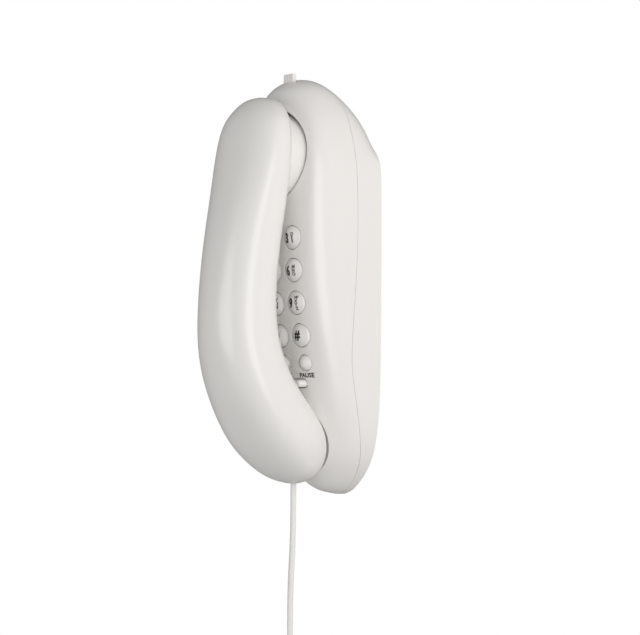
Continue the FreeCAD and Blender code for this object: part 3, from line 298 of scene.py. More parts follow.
# Steps along the cord's route and its tube, the tube's sides, how far above the lead's
# end the curls may start, and the share of the curls' radius at which the wire starts to
# turn.
ROUTE_STEP = 0.25
CORD_STEP = 1.2
CORD_SIDES = 12
CURLS_START = 20.0
TURN_SHARE = 0.5

# Screws, with the holes, wells and pillars that take them.
SCREWS = ((-15.0, 58.0, 11.0), (15.0, 58.0, 11.0), (-6.0, -86.0, 3.5), (9.0, -86.0, 3.5))
BOARD_SCREWS = ((-21.0, 45.0), (21.0, 45.0), (-19.6, -47.0), (19.6, -47.0))
HANDSET_SCREWS = (26.0, -42.0)
HANDSET_SCREW_SINK = 2.2
SCREW_LENGTH = 12.0
HEAD_RADIUS = 3.0
SHANK_RADIUS = 1.7
THREAD_RADIUS = 1.35
WELL_RADIUS = 4.6
WELL_FLOOR = 3.0
PILLAR_RADIUS = 3.6
BOARD_PILLAR_RADIUS = 2.8

# Printing: shifts on a key, how bold the letters are, their spacing, a word's distance
# from its key, and the ink. A capital's share of the font's size, and the longest side
# of a letter's triangles as a share of its height.
INK = "print_black"
FIGURE_SHIFT = -1.8
LETTERS_SHIFT = 2.3
FIGURE_WEIGHT = 0.3
LETTERS_WEIGHT = 0.1
WORD_WEIGHT = 0.13
LETTERS_LINES = 0.82
WORD_SPACING = 1.03
WORD_DROP = 2.3
INK_PROUD = 0.03
INK_THICKNESS = 0.05
CAPITAL_SHARE = 0.69
LONGEST_SIDE = 0.28
DIVIDING_ROUNDS = 4

# Floor, in millimetres.
FLOOR_RADIUS = 800.0
FLOOR_BOTTOM = -350.0
FLOOR_THICKNESS = 4.0
FLOOR_GLOW = 0.4

# Room light, lamps and camera, in metres.
ROOM_COLOUR = (1.0, 0.97, 0.955, 1.0)
WHITE = (1.0, 1.0, 1.0, 1.0)
WINDOW_DIRECTION = (0.985, 0.174, 0.0)
WINDOW_START = 0.2
LAMP_SIZE = 0.9
SIDE_LAMP = (1.27, -0.46, 0.0)
FRONT_LAMP = (-0.46, -1.27, 0.0)
LAMP_AIM = (0.0, -0.03, 0.0)
CAMERA_AIM = (-0.01154, -0.01516)
SENSOR_WIDTH = 36.0
CLIP_RANGE = (0.05, 20.0)


# Shapes as rings of points, in millimetres.

def spline(values, at):
    """Natural cubic spline through rows of values at 0, 1, 2...: its second derivative
    is linear between rows and zero at both ends."""
    count = len(values)
    slope = np.diff(values, axis=0)
    matrix = np.eye(count)
    inner = np.arange(1, count - 1)
    matrix[inner, inner - 1] = 1.0
    matrix[inner, inner] = 4.0
    matrix[inner, inner + 1] = 1.0
    right = np.zeros_like(values)
    right[1:-1] = 6.0 * (slope[1:] - slope[:-1])
    bend = np.linalg.solve(matrix, right)
    k = np.clip(at.astype(int), 0, count - 2)
    t = (at - k)[:, None]
    first = slope[k] - (2.0 * bend[k] + bend[k + 1]) / 6.0
    return values[k] + t * first + t ** 2 * bend[k] / 2.0 + t ** 3 * (bend[k + 1] - bend[k]) / 6.0


def even_rows(values, count):
    """The spline through values at even steps along its own length."""
    start = np.linspace(0.0, len(values) - 1.0, FINE_STEPS)
    fine = spline(values, start)
    steps = np.linalg.norm(np.diff(fine[:, :4], axis=0), axis=1)
    run = np.concatenate([[0.0], np.cumsum(steps)])
    return spline(values, np.interp(np.linspace(0.0, run[-1], count), run, start))


def drawn_in(sections, inset):
    """Sections moved inward by inset on every side, or outward if it is negative. Those
    that would be left with next to no size are dropped."""
    least_half, least_depth = 1.5, 3.0
    height, front, back, half, square = sections.T
    middle = (height[0] + height[-1]) / 2.0
    shrink = 1.0 - 2.0 * inset / (height[0] - height[-1])
    kept = (half - inset >= least_half) & (back - front - 2.0 * inset >= least_depth)
    height = middle + (height - middle) * shrink
    return np.stack([height, front + inset, back - inset, half - inset, square], -1)[kept]


def hull(sections, rows, columns, inset=0.0):
    """Rings of a superellipse |x/a|^n + |y/b|^n = 1 whose size, middle and squareness n
    follow the spline through the sections."""
    height, front, back, half, square = even_rows(drawn_in(sections, inset), rows).T[:, :, None]
    angle = np.linspace(0.0, 2.0 * np.pi, columns, endpoint=False)[None, :]
    c, s = np.cos(angle), np.sin(angle)
    reach = (np.abs(c) ** square + np.abs(s) ** square) ** (-1.0 / square)
    depth = (front + back) / 2.0 + (back - front) / 2.0 * reach * s
    return np.stack([half * reach * c, depth, height + 0.0 * angle], -1)


# The base's sections close together, from the lowest up.
BASE_ROWS = even_rows(BASE_SECTIONS, ROW_STEPS)[::-1]


def depth_at(rows, x, height, side=-1.0):
    """Depth of the outer shape's front (side -1) or back (side 1) at x and height."""
    front, back, half, square = (np.interp(height, rows[:, 0], rows[:, i]) for i in (1, 2, 3, 4))
    share = np.clip(1.0 - np.abs(x / half) ** square, 0.0, 1.0) ** (1.0 / square)
    return (front + back) / 2.0 + side * (back - front) / 2.0 * share


def section_depth(sections, x, height, side=-1.0):
    """The same between two listed sections taken as straight."""
    return float(depth_at(sections[::-1], x, height, side))


def rings_along(outline, start, way, across, stops):
    """An outline of (a, b) points carried along a straight way: at each stop a ring of
    start + way * stop + a * across + b * (way x across)."""
    up = np.cross(way, across)
    flat = outline[:, :1] * across + outline[:, 1:] * up
    return np.array([start + way * stop + flat for stop in stops])


def circle(radius, count):
    """Points radius * (cos t, sin t) at even angles."""
    angle = np.linspace(0.0, 2.0 * np.pi, count, endpoint=False)
    return radius * np.stack([np.cos(angle), np.sin(angle)], -1)


def round_outline(radius, count):
    """A circle, given as a function of how far it is moved out."""
    return lambda offset: circle(radius + offset, count)


def rod(radius, start, end, count=48):
    """Cylinder from one point to another."""
    start, end = np.array(start, float), np.array(end, float)
    length = np.linalg.norm(end - start)
    way = (end - start) / length
    across = np.cross(way, ROD_SIDE)
    across /= np.linalg.norm(across)
    return rings_along(circle(radius, count), start, way, across, (0.0, length))


def along_y(radius, x, height, start, end, count=48):
    """Cylinder straight into the wall, between two depths."""
    return rod(radius, (x, start, height), (x, end, height), count)


def box(low, high):
    """Block between two corners as two rings of four."""
    (x0, y0, z0), (x1, y1, z1) = low, high
    ring = [(x0, y0), (x1, y0), (x1, y1), (x0, y1)]
    return np.array([[(x, y, z) for x, y in ring] for z in (z0, z1)], float)


def block_to(depth=REACH, height=REACH):
    """Everything before a depth and below a height."""
    return box((-REACH, -REACH, -REACH), (REACH, depth, height))


def post(centre, size, low, high, walls=0.0):
    """Upright block centred on a point in x and y, with its walls added to its size."""
    x, y = centre[0], centre[1]
    half_x, half_y = (size[0] + walls) / 2, (size[1] + walls) / 2
    return box((x - half_x, y - half_y, low), (x + half_x, y + half_y, high))


def turned(profile, origin, axis, across, count):
    """Profile of (radius, height) turned about an axis; radius 0 closes a pole."""
    other = np.cross(axis, across)
    angle = np.linspace(0.0, 2.0 * np.pi, count, endpoint=False)[None, :, None]
    radius, height = (np.array(profile, float)[:, i][:, None, None] for i in (0, 1))
    return origin + axis * height + radius * (np.cos(angle) * across + np.sin(angle) * other)


def quarter(radius, count):
    """Offsets (inward, downward) of a quarter round from its side to its top."""
    angle = np.linspace(0.0, np.pi / 2.0, count)
    return np.stack([radius * (1.0 - np.cos(angle)), radius * (1.0 - np.sin(angle))], -1)


def side_block(seam, far, shift):
    """Everything between a parting line seen from the side, moved by shift, and far."""
    line = even_rows(np.pad(seam, ((0, 0), (0, 3))), SEAM_STEPS)[:, :2]
    left, right = -REACH, REACH
    return np.array([
        [(left, y + shift, z), (right, y + shift, z), (right, far, z), (left, far, z)]
        for z, y in line])


def stadium(length, thickness, count=24):
    """Outline with half-round ends, given as a function of how far it is moved out."""
    half = (length - thickness) / 2.0
    run = np.linspace(-half, half, count, endpoint=False)
    turn = np.linspace(-np.pi / 2.0, np.pi / 2.0, count, endpoint=False)

    def outline(offset):
        """A low side, an end, and both again turned about the middle."""
        r = thickness / 2.0 + offset
        right = np.stack([half + r * np.cos(turn), r * np.sin(turn)], -1)
        low = np.stack([run, np.full(count, -r)], -1)
        return np.concatenate([low, right, -low, -right])

    return outline


def eased_cut(outline, origin, up, out, inside, ease):
    """Cutter whose wall follows an outline and opens like the inside of a small round
    where it meets the base's front, so the hole's edge is eased by the same amount all
    round. Ring k lies at outline(offset) and at the front's own height less a drop. That
    height is corrected in rounds, by how far the point still is from the surface."""
    rings = []

    def placed(flat, height):
        """Points of an outline at heights along out."""
        return origin + flat[:, :1] * ACROSS + flat[:, 1:] * up + height[:, None] * out

    def surface(flat):
        """Heights at which an outline's points meet the base's front."""
        height = np.full(len(flat), SURFACE_GUESS)
        for _ in range(SURFACE_ROUNDS):
            p = placed(flat, height)
            height -= (depth_at(BASE_ROWS, p[:, 0], p[:, 2]) - p[:, 1]) / -out[1]
        return height

    def ring(offset, drop):
        """Adds the outline moved out by an offset, at a drop below the base's front."""
        flat = outline(offset)
        rings.append(placed(flat, surface(flat) - drop))

    flat = outline(0.0)
    rings.append(placed(flat, np.full(len(flat), inside)))
    ring(0.0, ease)
    for angle in EASE_ANGLES:
        ring(ease * (1.0 - math.cos(angle)), ease * (1.0 - math.sin(angle)))
    for rise in EASE_RISES:
        ring(ease * (1.0 - math.cos(EASE_ANGLES[-1])) + EASE_FLARE, -rise)
    return np.array(rings)


def new_mesh(name, rings, first=None, last=None):
    """Mesh through closed rings with a fan at each end, facing outward."""
    rows, columns = rings.shape[:2]
    first = rings[0].mean(0) if first is None else first
    last = rings[-1].mean(0) if last is None else last
    points = np.concatenate([rings.reshape(-1, 3), [first, last]])
    i = np.arange(rows - 1)[:, None] * columns
    j = np.arange(columns)[None, :]
    k = (j + 1) % columns
    quads = np.stack([i + j, i + k, i + columns + k, i + columns + j], -1).reshape(-1, 4)
    tip = rows * columns
    bottom = (rows - 1) * columns
    fans = np.concatenate([
        np.stack([k[0], j[0], np.full(columns, tip)], -1),
        np.stack([bottom + j[0], bottom + k[0], np.full(columns, tip + 1)], -1),
    ])
    triangles = np.concatenate([quads[:, [0, 1, 2]], quads[:, [0, 2, 3]], fans])
    a, b, c = (points[triangles[:, n]] for n in range(3))
    if np.einsum("ij,ij->i", a, np.cross(b, c)).sum() < 0.0:
        quads, fans = quads[:, ::-1], fans[:, ::-1]
    mesh = bpy.data.meshes.new(name)
    mesh.from_pydata((points * MM).tolist(), [], quads.tolist() + fans.tolist())
    return mesh


def carve(mesh, operation, shapes):
    """One boolean of a closed mesh with closed shapes; returns the new mesh."""
    holder = bpy.data.collections.new("shapes")
    for n, rings in enumerate(shapes):
        tool = rings if isinstance(rings, bpy.types.Mesh) else new_mesh("shape", rings)
        holder.objects.link(bpy.data.objects.new(f"shape_{n}", tool))
    body = bpy.data.objects.new("carved", mesh)
    bpy.context.scene.collection.objects.link(body)
    change = body.modifiers.new("carve", "BOOLEAN")
    change.operation = operation
    change.solver = "MANIFOLD"
    if len(shapes) > 1:
        change.operand_type = "COLLECTION"
        change.collection = holder
    else:
        change.object = holder.objects[0]
    graph = bpy.context.evaluated_depsgraph_get()
    result = bpy.data.meshes.new_from_object(body.evaluated_get(graph))
    for tool in list(holder.objects) + [body]:
        bpy.data.objects.remove(tool)
    bpy.data.collections.remove(holder)
    return result


def finish_piece(name, mesh, body, look, replaced=(), sharp=32.0):
    """Puts a finished mesh into the scene as a piece that rides on a body. Its look is
    one of the record's slots, or the ink, which the record has no slot for."""
    mesh.name = name
    mesh.shade_smooth()
    mesh.set_sharp_from_angle(angle=math.radians(sharp))
    mesh.materials.clear()
    mesh.materials.append(finishes()[look])
    piece = bpy.data.objects.new(name, mesh)
    bpy.context.scene.collection.objects.link(piece)
    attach(piece, body)
    if replaced:
        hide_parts(*replaced)
    return piece


# Finishes.

def set_inputs(node, values):
    """Gives a node's inputs their values by name or number."""
    for name, value in values.items():
        node.inputs[name].default_value = value


def add_node(tree, kind, values=None, **settings):
    """A new node with these settings and input values."""
    node = tree.nodes.new(kind)
    for name, value in settings.items():
        setattr(node, name, value)
    set_inputs(node, values or {})
    return node


def grain_group():
    """Moulded surface: a slow change of tone, smudges that change the gloss and a fine
    height for the mould's grain, all from noise on object coordinates."""
    if "moulded_grain" in bpy.data.node_groups:
        return bpy.data.node_groups["moulded_grain"]
    tree = bpy.data.node_groups.new("moulded_grain", "ShaderNodeTree")
    for way, kind, names in (
        ("INPUT", "NodeSocketColor", ("Colour", "Aged colour")),
        ("INPUT", "NodeSocketFloat", ("Gloss low", "Gloss high", "Grain size")),
        ("OUTPUT", "NodeSocketColor", ("Colour",)),
        ("OUTPUT", "NodeSocketFloat", ("Roughness", "Height")),
    ):
        for name in names:
            tree.interface.new_socket(name=name, in_out=way, socket_type=kind)
    link = tree.links.new
    given = add_node(tree, "NodeGroupInput")
    out = add_node(tree, "NodeGroupOutput")
    place = add_node(tree, "ShaderNodeTexCoord")
    tone = add_node(tree, "ShaderNodeTexNoise", {"Scale": 22.0, "Detail": 3.0})
    link(place.outputs["Object"], tone.inputs["Vector"])
    aged = add_node(tree, "ShaderNodeMapRange", {"From Min": 0.4, "From Max": 0.75})
    link(tone.outputs["Fac"], aged.inputs["Value"])
    # A colour mix has its factor in input 0 and its colours in inputs 6 and 7.
    mix = add_node(tree, "ShaderNodeMix", data_type="RGBA")
    link(aged.outputs["Result"], mix.inputs[0])
    link(given.outputs["Colour"], mix.inputs[6])
    link(given.outputs["Aged colour"], mix.inputs[7])
    link(mix.outputs[2], out.inputs["Colour"])
    smudge = add_node(tree, "ShaderNodeTexNoise", {"Scale": 75.0, "Detail": 6.0, "Distortion": 0.6})
    link(place.outputs["Object"], smudge.inputs["Vector"])
    gloss = add_node(tree, "ShaderNodeMapRange", {"From Min": 0.35, "From Max": 0.7})
    link(smudge.outputs["Fac"], gloss.inputs["Value"])
    link(given.outputs["Gloss low"], gloss.inputs["To Min"])
    link(given.outputs["Gloss high"], gloss.inputs["To Max"])
    link(gloss.outputs["Result"], out.inputs["Roughness"])
    grain = add_node(tree, "ShaderNodeTexNoise", {"Detail": 2.0})
    link(place.outputs["Object"], grain.inputs["Vector"])
    link(given.outputs["Grain size"], grain.inputs["Scale"])
    link(grain.outputs["Fac"], out.inputs["Height"])
    return tree


def finish(name, colour, aged=None, gloss=(0.3, 0.42), grain=1800.0, bump=0.04, metal=0.0,
           specular=0.5, clear=0.0, sheen=0.0):
    """Material whose colour, roughness and height come from the moulded grain group. The
    bump is in millimetres, and a colour without an aged one turns slightly yellow."""
    if name in bpy.data.materials:
        return bpy.data.materials[name]
    material = bpy.data.materials.new(name)
    material.use_nodes = True
    tree = material.node_tree
    aged = aged or tuple(c * k for c, k in zip(colour, (0.975, 0.965, 0.94)))
    group = add_node(tree, "ShaderNodeGroup", {
        "Colour": (*colour, 1.0), "Aged colour": (*aged, 1.0),
        "Gloss low": gloss[0], "Gloss high": gloss[1], "Grain size": grain,
    }, node_tree=grain_group())
    height = add_node(tree, "ShaderNodeBump", {"Strength": 0.35, "Distance": bump * MM})
    shader = tree.nodes["Principled BSDF"]
    set_inputs(shader, {
        "Metallic": metal, "Specular IOR Level": specular,
        "Transmission Weight": clear, "Sheen Weight": sheen,
    })
    tree.links.new(group.outputs["Colour"], shader.inputs["Base Color"])
    tree.links.new(group.outputs["Roughness"], shader.inputs["Roughness"])
    tree.links.new(group.outputs["Height"], height.inputs["Height"])
    tree.links.new(height.outputs["Normal"], shader.inputs["Normal"])
    return material


def finishes():
    """All the finishes by the record's slot names, and the ink."""
    colours = bpy.context.scene.phone_colours
    keys = tuple(colours.keys)
    shell = {"gloss": (0.42, 0.54), "specular": 0.3}
    looks = {
        "housing_white": dict(colour=tuple(colours.housing), **shell),
        "handset_white": dict(colour=tuple(colours.handset), **shell),
        "key_white": dict(colour=keys, gloss=(0.28, 0.4)),
        "hook_white": dict(colour=keys),
        "cord_white": dict(colour=tuple(colours.cord), grain=900.0),
        "mat_rubber": dict(colour=(0.5, 0.5, 0.49), gloss=(0.6, 0.8), bump=0.1, sheen=0.2),
        "board_green": dict(colour=(0.02, 0.16, 0.06), aged=(0.03, 0.22, 0.09), gloss=(0.25, 0.4)),
        "component_black": dict(
            colour=(0.015, 0.015, 0.016), aged=(0.02, 0.02, 0.02), gloss=(0.4, 0.6)),
        "capacitor_can": dict(
            colour=(0.55, 0.56, 0.58), aged=(0.5, 0.5, 0.52), gloss=(0.25, 0.4), metal=1.0),
        "varistor_blue": dict(colour=(0.03, 0.12, 0.4), aged=(0.03, 0.1, 0.33), gloss=(0.25, 0.4)),
        "ringer_brass": dict(
            colour=(0.72, 0.5, 0.2), aged=(0.6, 0.4, 0.16), gloss=(0.22, 0.4), metal=1.0),
        "holder_grey": dict(colour=(0.35, 0.35, 0.35), gloss=(0.4, 0.6)),
        "socket_grey": dict(colour=(0.32, 0.32, 0.33), gloss=(0.35, 0.5)),
        "plug_clear": dict(colour=(0.9, 0.9, 0.88), gloss=(0.05, 0.15), clear=0.9),
        "screw_steel": dict(
            colour=(0.62, 0.62, 0.63), aged=(0.5, 0.5, 0.5), gloss=(0.25, 0.45), metal=1.0),
        "gasket_rubber": dict(colour=(0.03, 0.03, 0.03), gloss=(0.7, 0.9), bump=0.1),
        "microphone_can": dict(
            colour=(0.6, 0.6, 0.62), aged=(0.5, 0.5, 0.5), gloss=(0.25, 0.45), metal=1.0),
        "ballast_steel": dict(
            colour=(0.42, 0.42, 0.43), aged=(0.32, 0.3, 0.28), gloss=(0.4, 0.7), metal=1.0),
        INK: dict(colour=(0.02, 0.02, 0.022), aged=(0.03, 0.03, 0.03), gloss=(0.45, 0.6)),
    }
    return {name: finish(name, **look) for name, look in looks.items()}


# Pieces.

Key = namedtuple("Key", "name figure letters radius x along top")


def key_places():
    """Each key with its radius, its place on the board and the height of its top."""
    for row, keys in enumerate(KEYS):
        radius = FUNCTION_KEY_RADIUS if row == len(KEYS) - 1 else KEY_RADIUS
        for column, (name, figure, letters) in enumerate(keys):
            x = (column - 1) * KEY_PITCH
            point = np.array([x, section_depth(BASE_SECTIONS, x, KEY_ROWS[row]), KEY_ROWS[row]])
            offset = point - BOARD_ORIGIN
            along, top = offset @ BOARD_UP, offset @ BOARD_OUT + KEY_PROUD
            yield Key(name, figure, letters, radius, x, along, top)


def on_board(x, along, out):
    """Point at these coordinates of the board's axes."""
    return BOARD_ORIGIN + x * ACROSS + along * BOARD_UP + out * BOARD_OUT


def tab_block(gap):
    """The tab's room: a block that rises along the handset's way out, larger than the
    tab by a gap on each side and at its end."""
    root = np.array([0.0, section_depth(BASE_SECTIONS, 0.0, TAB_HEIGHT), TAB_HEIGHT])
    way = np.array([0.0, -math.cos(LIFT_ANGLE), math.sin(LIFT_ANGLE)])
    half, thick = TAB_HALF_SIZE[0] + gap, TAB_HALF_SIZE[1] + gap
    outline = np.array([(-half, -thick), (half, -thick), (half, thick), (-half, thick)])
    return rings_along(outline, root, way, ACROSS, (TAB_RUN[0], TAB_RUN[1] + gap))


def keyhole(level):
    """Round hole for a stud's head with a slot above it for the neck."""
    neck, top = KEYHOLE_NECK_RADIUS, level + KEYHOLE_RISE
    return [
        along_y(KEYHOLE_HEAD_RADIUS, 0.0, level, -KEYHOLE_DEPTH, PAST),
        box((-neck, -KEYHOLE_DEPTH, level), (neck, PAST, top)),
        along_y(neck, 0.0, top, -KEYHOLE_DEPTH, PAST),
    ]


def screw_holes(x, level, seat, end):
    """Holes for a screw's head, from its seat out to end, for its shank and its thread."""
    tip = seat - SCREW_LENGTH
    return (
        along_y(HEAD_RADIUS, x, level, seat, end, PILLAR_SIDES),
        along_y(SHANK_RADIUS, x, level, tip, end, SCREW_SIDES),
        along_y(THREAD_RADIUS, x, level, tip, end, SCREW_SIDES),
    )


def parted(shell, seam, gap):
    """What lies before a shell's parting line and what lies behind it."""
    front = carve(shell.copy(), "INTERSECT", [side_block(seam, -REACH, -gap / 2)])
    return front, carve(shell, "INTERSECT", [side_block(seam, REACH, gap / 2)])


def base_room():
    """Room inside the base, less the walls, collars and pillars that stand in it."""
    room = new_mesh("room", hull(BASE_SECTIONS, *ROOM_GRID, BASE_WALL))
    room = carve(room, "INTERSECT", [block_to(depth=-BASE_WALL)])
    mouth_wall = new_mesh("mouth", hull(HANDSET_SECTIONS, *ROOM_GRID, -MOUTH_GAP - BASE_WALL))
    ear_wall_radius, ear_wall_back = EAR_RECESS_RADIUS + BASE_WALL, EAR_RECESS_FLOOR + BASE_WALL
    kept = [
        along_y(ear_wall_radius, 0.0, EAR_RECESS_HEIGHT, -REACH, ear_wall_back, RING_SIDES),
        carve(mouth_wall, "INTERSECT", [block_to(height=MOUTH_RECESS_TOP + BASE_WALL)]),
        post(BASE_JACK, NOTCH, -REACH, BASE_JACK[2], SOCKET_WALLS),
    ]
    for key in key_places():
        wide = key.radius + KEY_GAP + COLLAR_WALL
        low, high = (on_board(key.x, key.along, out) for out in (COLLAR_END, BOARD_REACH))
        kept.append(rod(wide, low, high))
    for x, along in BOARD_SCREWS:
        low, high = (on_board(x, along, out) for out in (0.0, BOARD_REACH))
        kept.append(rod(BOARD_PILLAR_RADIUS, low, high, HOLE_SIDES))
    for x, level, sink in SCREWS:
        kept.append(along_y(WELL_RADIUS, x, level, -sink - WELL_FLOOR, PAST, PILLAR_SIDES))
        kept.append(along_y(PILLAR_RADIUS, x, level, -REACH, -BASE_WALL, PILLAR_SIDES))
    return carve(room, "DIFFERENCE", kept)


def base_shells(seam_gap, ease):
    """Meshes of the base's front and back housings."""
    shell = new_mesh("outer", hull(BASE_SECTIONS, *BASE_GRID))
    shell = carve(shell, "INTERSECT", [block_to(depth=0.0)])
    shell = carve(shell, "DIFFERENCE", [base_room()])
    mouth = new_mesh("mouth", hull(HANDSET_SECTIONS, *MOUTH_GRID, -MOUTH_GAP))
    ear_hole = round_outline(EAR_RECESS_RADIUS, RECESS_SIDES)
    bar_hole = stadium(HOOK_LENGTH + 2 * HOOK_GAP, HOOK_THICKNESS + 2 * HOOK_GAP)
    ear, bar, floor = EAR_RECESS_HEIGHT * UPRIGHT, HOOK_HEIGHT * UPRIGHT, BASE_JACK[2]
    cuts = [
        eased_cut(ear_hole, ear, UPRIGHT, OUTWARD, -EAR_RECESS_FLOOR, ease),
        carve(mouth, "INTERSECT", [block_to(height=MOUTH_RECESS_TOP)]),
        tab_block(BASE_TAB_GAP),
        eased_cut(bar_hole, bar, UPRIGHT, OUTWARD, HOOK_HOLE_START, ease),
        post(BASE_JACK, NOTCH, -REACH, floor - JACK_FLOOR),
        post(BASE_JACK, PLUG_HOLE, -REACH, floor + OVERLAP),
        post(BASE_JACK, JACK_SIZE, floor, floor + JACK_SIZE[2]),
        box(*RINGER_SLOT),
        box(*LINE_OPENING),
        *keyhole(KEYHOLE_LEVELS[0]),
        *keyhole(KEYHOLE_LEVELS[1]),
    ]
    for key in key_places():
        hole = round_outline(key.radius + KEY_GAP, KEY_HOLE_SIDES)
        centre = on_board(key.x, key.along, 0.0)
        cuts.append(eased_cut(hole, centre, BOARD_UP, BOARD_OUT, 0.0, ease))
    for x, along in BOARD_SCREWS:
        low, high = (on_board(x, along, out) for out in (-PAST, BOARD_SCREW_LENGTH))
        cuts.append(rod(THREAD_RADIUS, low, high, SCREW_SIDES))
    screws = [screw_holes(x, level, -sink, PAST) for x, level, sink in SCREWS]
    heads, shanks, threads = zip(*screws)
    front, back = parted(carve(shell, "DIFFERENCE", [*cuts, *heads]), BASE_SEAM, seam_gap)
    return carve(front, "DIFFERENCE", threads), carve(back, "DIFFERENCE", shanks)


def handset_room():
    """Room inside the handset, less the ring, socket seat, pillars and ribs in it."""
    inner_face = EAR_CUP_FACE - HANDSET_WALL
    cup_radius = EAR_CUP_RADIUS - HANDSET_WALL
    cup_room = along_y(cup_radius, 0.0, EAR_CUP_HEIGHT, EAR_CUP_ROOT, inner_face, RING_SIDES)
    room = new_mesh("room", hull(HANDSET_SECTIONS, *ROOM_GRID, HANDSET_WALL))
    room = carve(room, "UNION", [cup_room])
    outer, inner = RECEIVER_RING_RADII
    start, end = (inner_face + run for run in RECEIVER_RING_RUN)
    ring = new_mesh("ring", along_y(outer, 0.0, EAR_CUP_HEIGHT, start, end, RING_SIDES))
    bore = along_y(inner, 0.0, EAR_CUP_HEIGHT, -REACH, REACH, RING_SIDES)
    ring = carve(ring, "DIFFERENCE", [bore])
    kept = [ring, post(HANDSET_JACK, JACK_SIZE, -REACH, HANDSET_JACK[2], SOCKET_WALLS)]
    kept += [
        along_y(PILLAR_RADIUS, 0.0, level, -REACH, 0.0, PILLAR_SIDES) for level in HANDSET_SCREWS]
    kept += [
        box((-RIB_HALF_WIDTH, -REACH, z), (RIB_HALF_WIDTH, RIB_EDGE, z + RIB_THICKNESS))
        for z in RIB_LEVELS]
    return carve(room, "DIFFERENCE", kept)


def handset_shells(seam_gap):
    """Meshes of the handset's outer and inner shells."""
    profile = [(0.0, EAR_CUP_ROOT), (EAR_CUP_RADIUS, EAR_CUP_ROOT)]
    profile += [(EAR_CUP_RADIUS - a, EAR_CUP_FACE - b) for a, b in quarter(EAR_CUP_ROUNDING, 9)]
    profile += [(0.0, EAR_CUP_FACE)]
    cup = turned(profile, EAR_CUP_HEIGHT * UPRIGHT, INWARD, ACROSS, CUP_SIDES)
    shell = carve(new_mesh("outer", hull(HANDSET_SECTIONS, *HANDSET_GRID)), "UNION", [cup])
    shell = carve(shell, "DIFFERENCE", [handset_room()])
    plug_hole = post(HANDSET_JACK, PLUG_HOLE, -REACH, HANDSET_JACK[2] + OVERLAP)
    shell = carve(shell, "DIFFERENCE", [plug_hole, tab_block(HANDSET_TAB_GAP)])
    front, back = parted(shell, HANDSET_SEAM, seam_gap)
    holes, threads = [], []
    start, end = EAR_CUP_FACE - EAR_HOLE_DEPTH, EAR_CUP_FACE + PAST
    for spread, count in EAR_HOLES:
        for angle in np.arange(count) * 2.0 * np.pi / count:
            x, z = spread * math.cos(angle), EAR_CUP_HEIGHT + spread * math.sin(angle)
            holes.append(along_y(EAR_HOLE_RADIUS, x, z, start, end, HOLE_SIDES))
    way = np.array([0.0, math.cos(MICROPHONE_SLANT), math.sin(MICROPHONE_SLANT)])
    depth = section_depth(HANDSET_SECTIONS, 0.0, MICROPHONE_HEIGHT, 1.0)
    face = np.array([0.0, depth, MICROPHONE_HEIGHT])
    for k in (-1, 0, 1):
        middle = face + ACROSS * k * MICROPHONE_PITCH
        start, end = (middle + way * run for run in MICROPHONE_HOLE_RUN)
        holes.append(rod(MICROPHONE_HOLE_RADIUS, start, end, HOLE_SIDES))
    for level in HANDSET_SCREWS:
        seat = section_depth(HANDSET_SECTIONS, 0.0, level, 1.0) - HANDSET_SCREW_SINK
        head, shank, thread = screw_holes(0.0, level, seat, 0.0)
        holes += [head, shank]
        threads.append(thread)
    return carve(front, "DIFFERENCE", threads), carve(back, "DIFFERENCE", holes)


def dome_height(radius, top, squared):
    """Height of a key's domed top, a part of a sphere, where the distance from its axis
    squared is given."""
    edge = radius - KEY_ROUNDING
    sphere = (edge ** 2 + KEY_CROWN ** 2) / (2.0 * KEY_CROWN)
    return top - sphere + np.sqrt(sphere ** 2 - squared)


def key_profile(radius, top):
    """Half outline of a domed button with a lip at its foot: radius and height."""
    steps = np.linspace(0.0, radius - KEY_ROUNDING, 14)
    dome = [(r, dome_height(radius, top, r ** 2)) for r in steps]
    side = [(radius - a, top - KEY_CROWN - b) for a, b in quarter(KEY_ROUNDING, 8)[::-1][1:]]
    lip = radius + KEY_LIP
    foot = [(radius, KEY_LIP_TOP), (lip, KEY_LIP_TOP), (lip, KEY_FOOT), (0.0, KEY_FOOT)]
    return dome + side + foot


def curve_mesh(curve):
    """The mesh of a curve that is needed for nothing else."""
    holder = bpy.data.objects.new(curve.name, curve)
    mesh = bpy.data.meshes.new_from_object(holder)
    bpy.data.objects.remove(holder)
    bpy.data.curves.remove(curve)
    return mesh


def lettering(text, height, weight, spacing=1.0, lines=1.0):
    """Flat letters as points (x, y) and triangles no side of which is long. The middle of
    the text is at the origin and a capital is height tall."""
    curve = bpy.data.curves.new("letters", "FONT")
    curve.body = text
    curve.size = height / CAPITAL_SHARE
    curve.offset = weight
    curve.space_character = spacing
    curve.space_line = lines
    curve.align_x = "CENTER"
    curve.resolution_u = 3
    mesh = curve_mesh(curve)
    work = bmesh.new()
    work.from_mesh(mesh)
    bpy.data.meshes.remove(mesh)
    bmesh.ops.remove_doubles(work, verts=work.verts, dist=0.0005)
    bmesh.ops.triangulate(work, faces=work.faces)
    for _ in range(DIVIDING_ROUNDS):
        long = [e for e in work.edges if e.calc_length() > height * LONGEST_SIDE]
        if long:
            bmesh.ops.subdivide_edges(work, edges=long, cuts=1)
            bmesh.ops.triangulate(work, faces=work.faces)
    points = np.array([v.co[:2] for v in work.verts])
    work.verts.index_update()
    faces = [[v.index for v in f.verts] for f in work.faces]
    work.free()
    return points - (points.min(0) + points.max(0)) / 2.0, faces


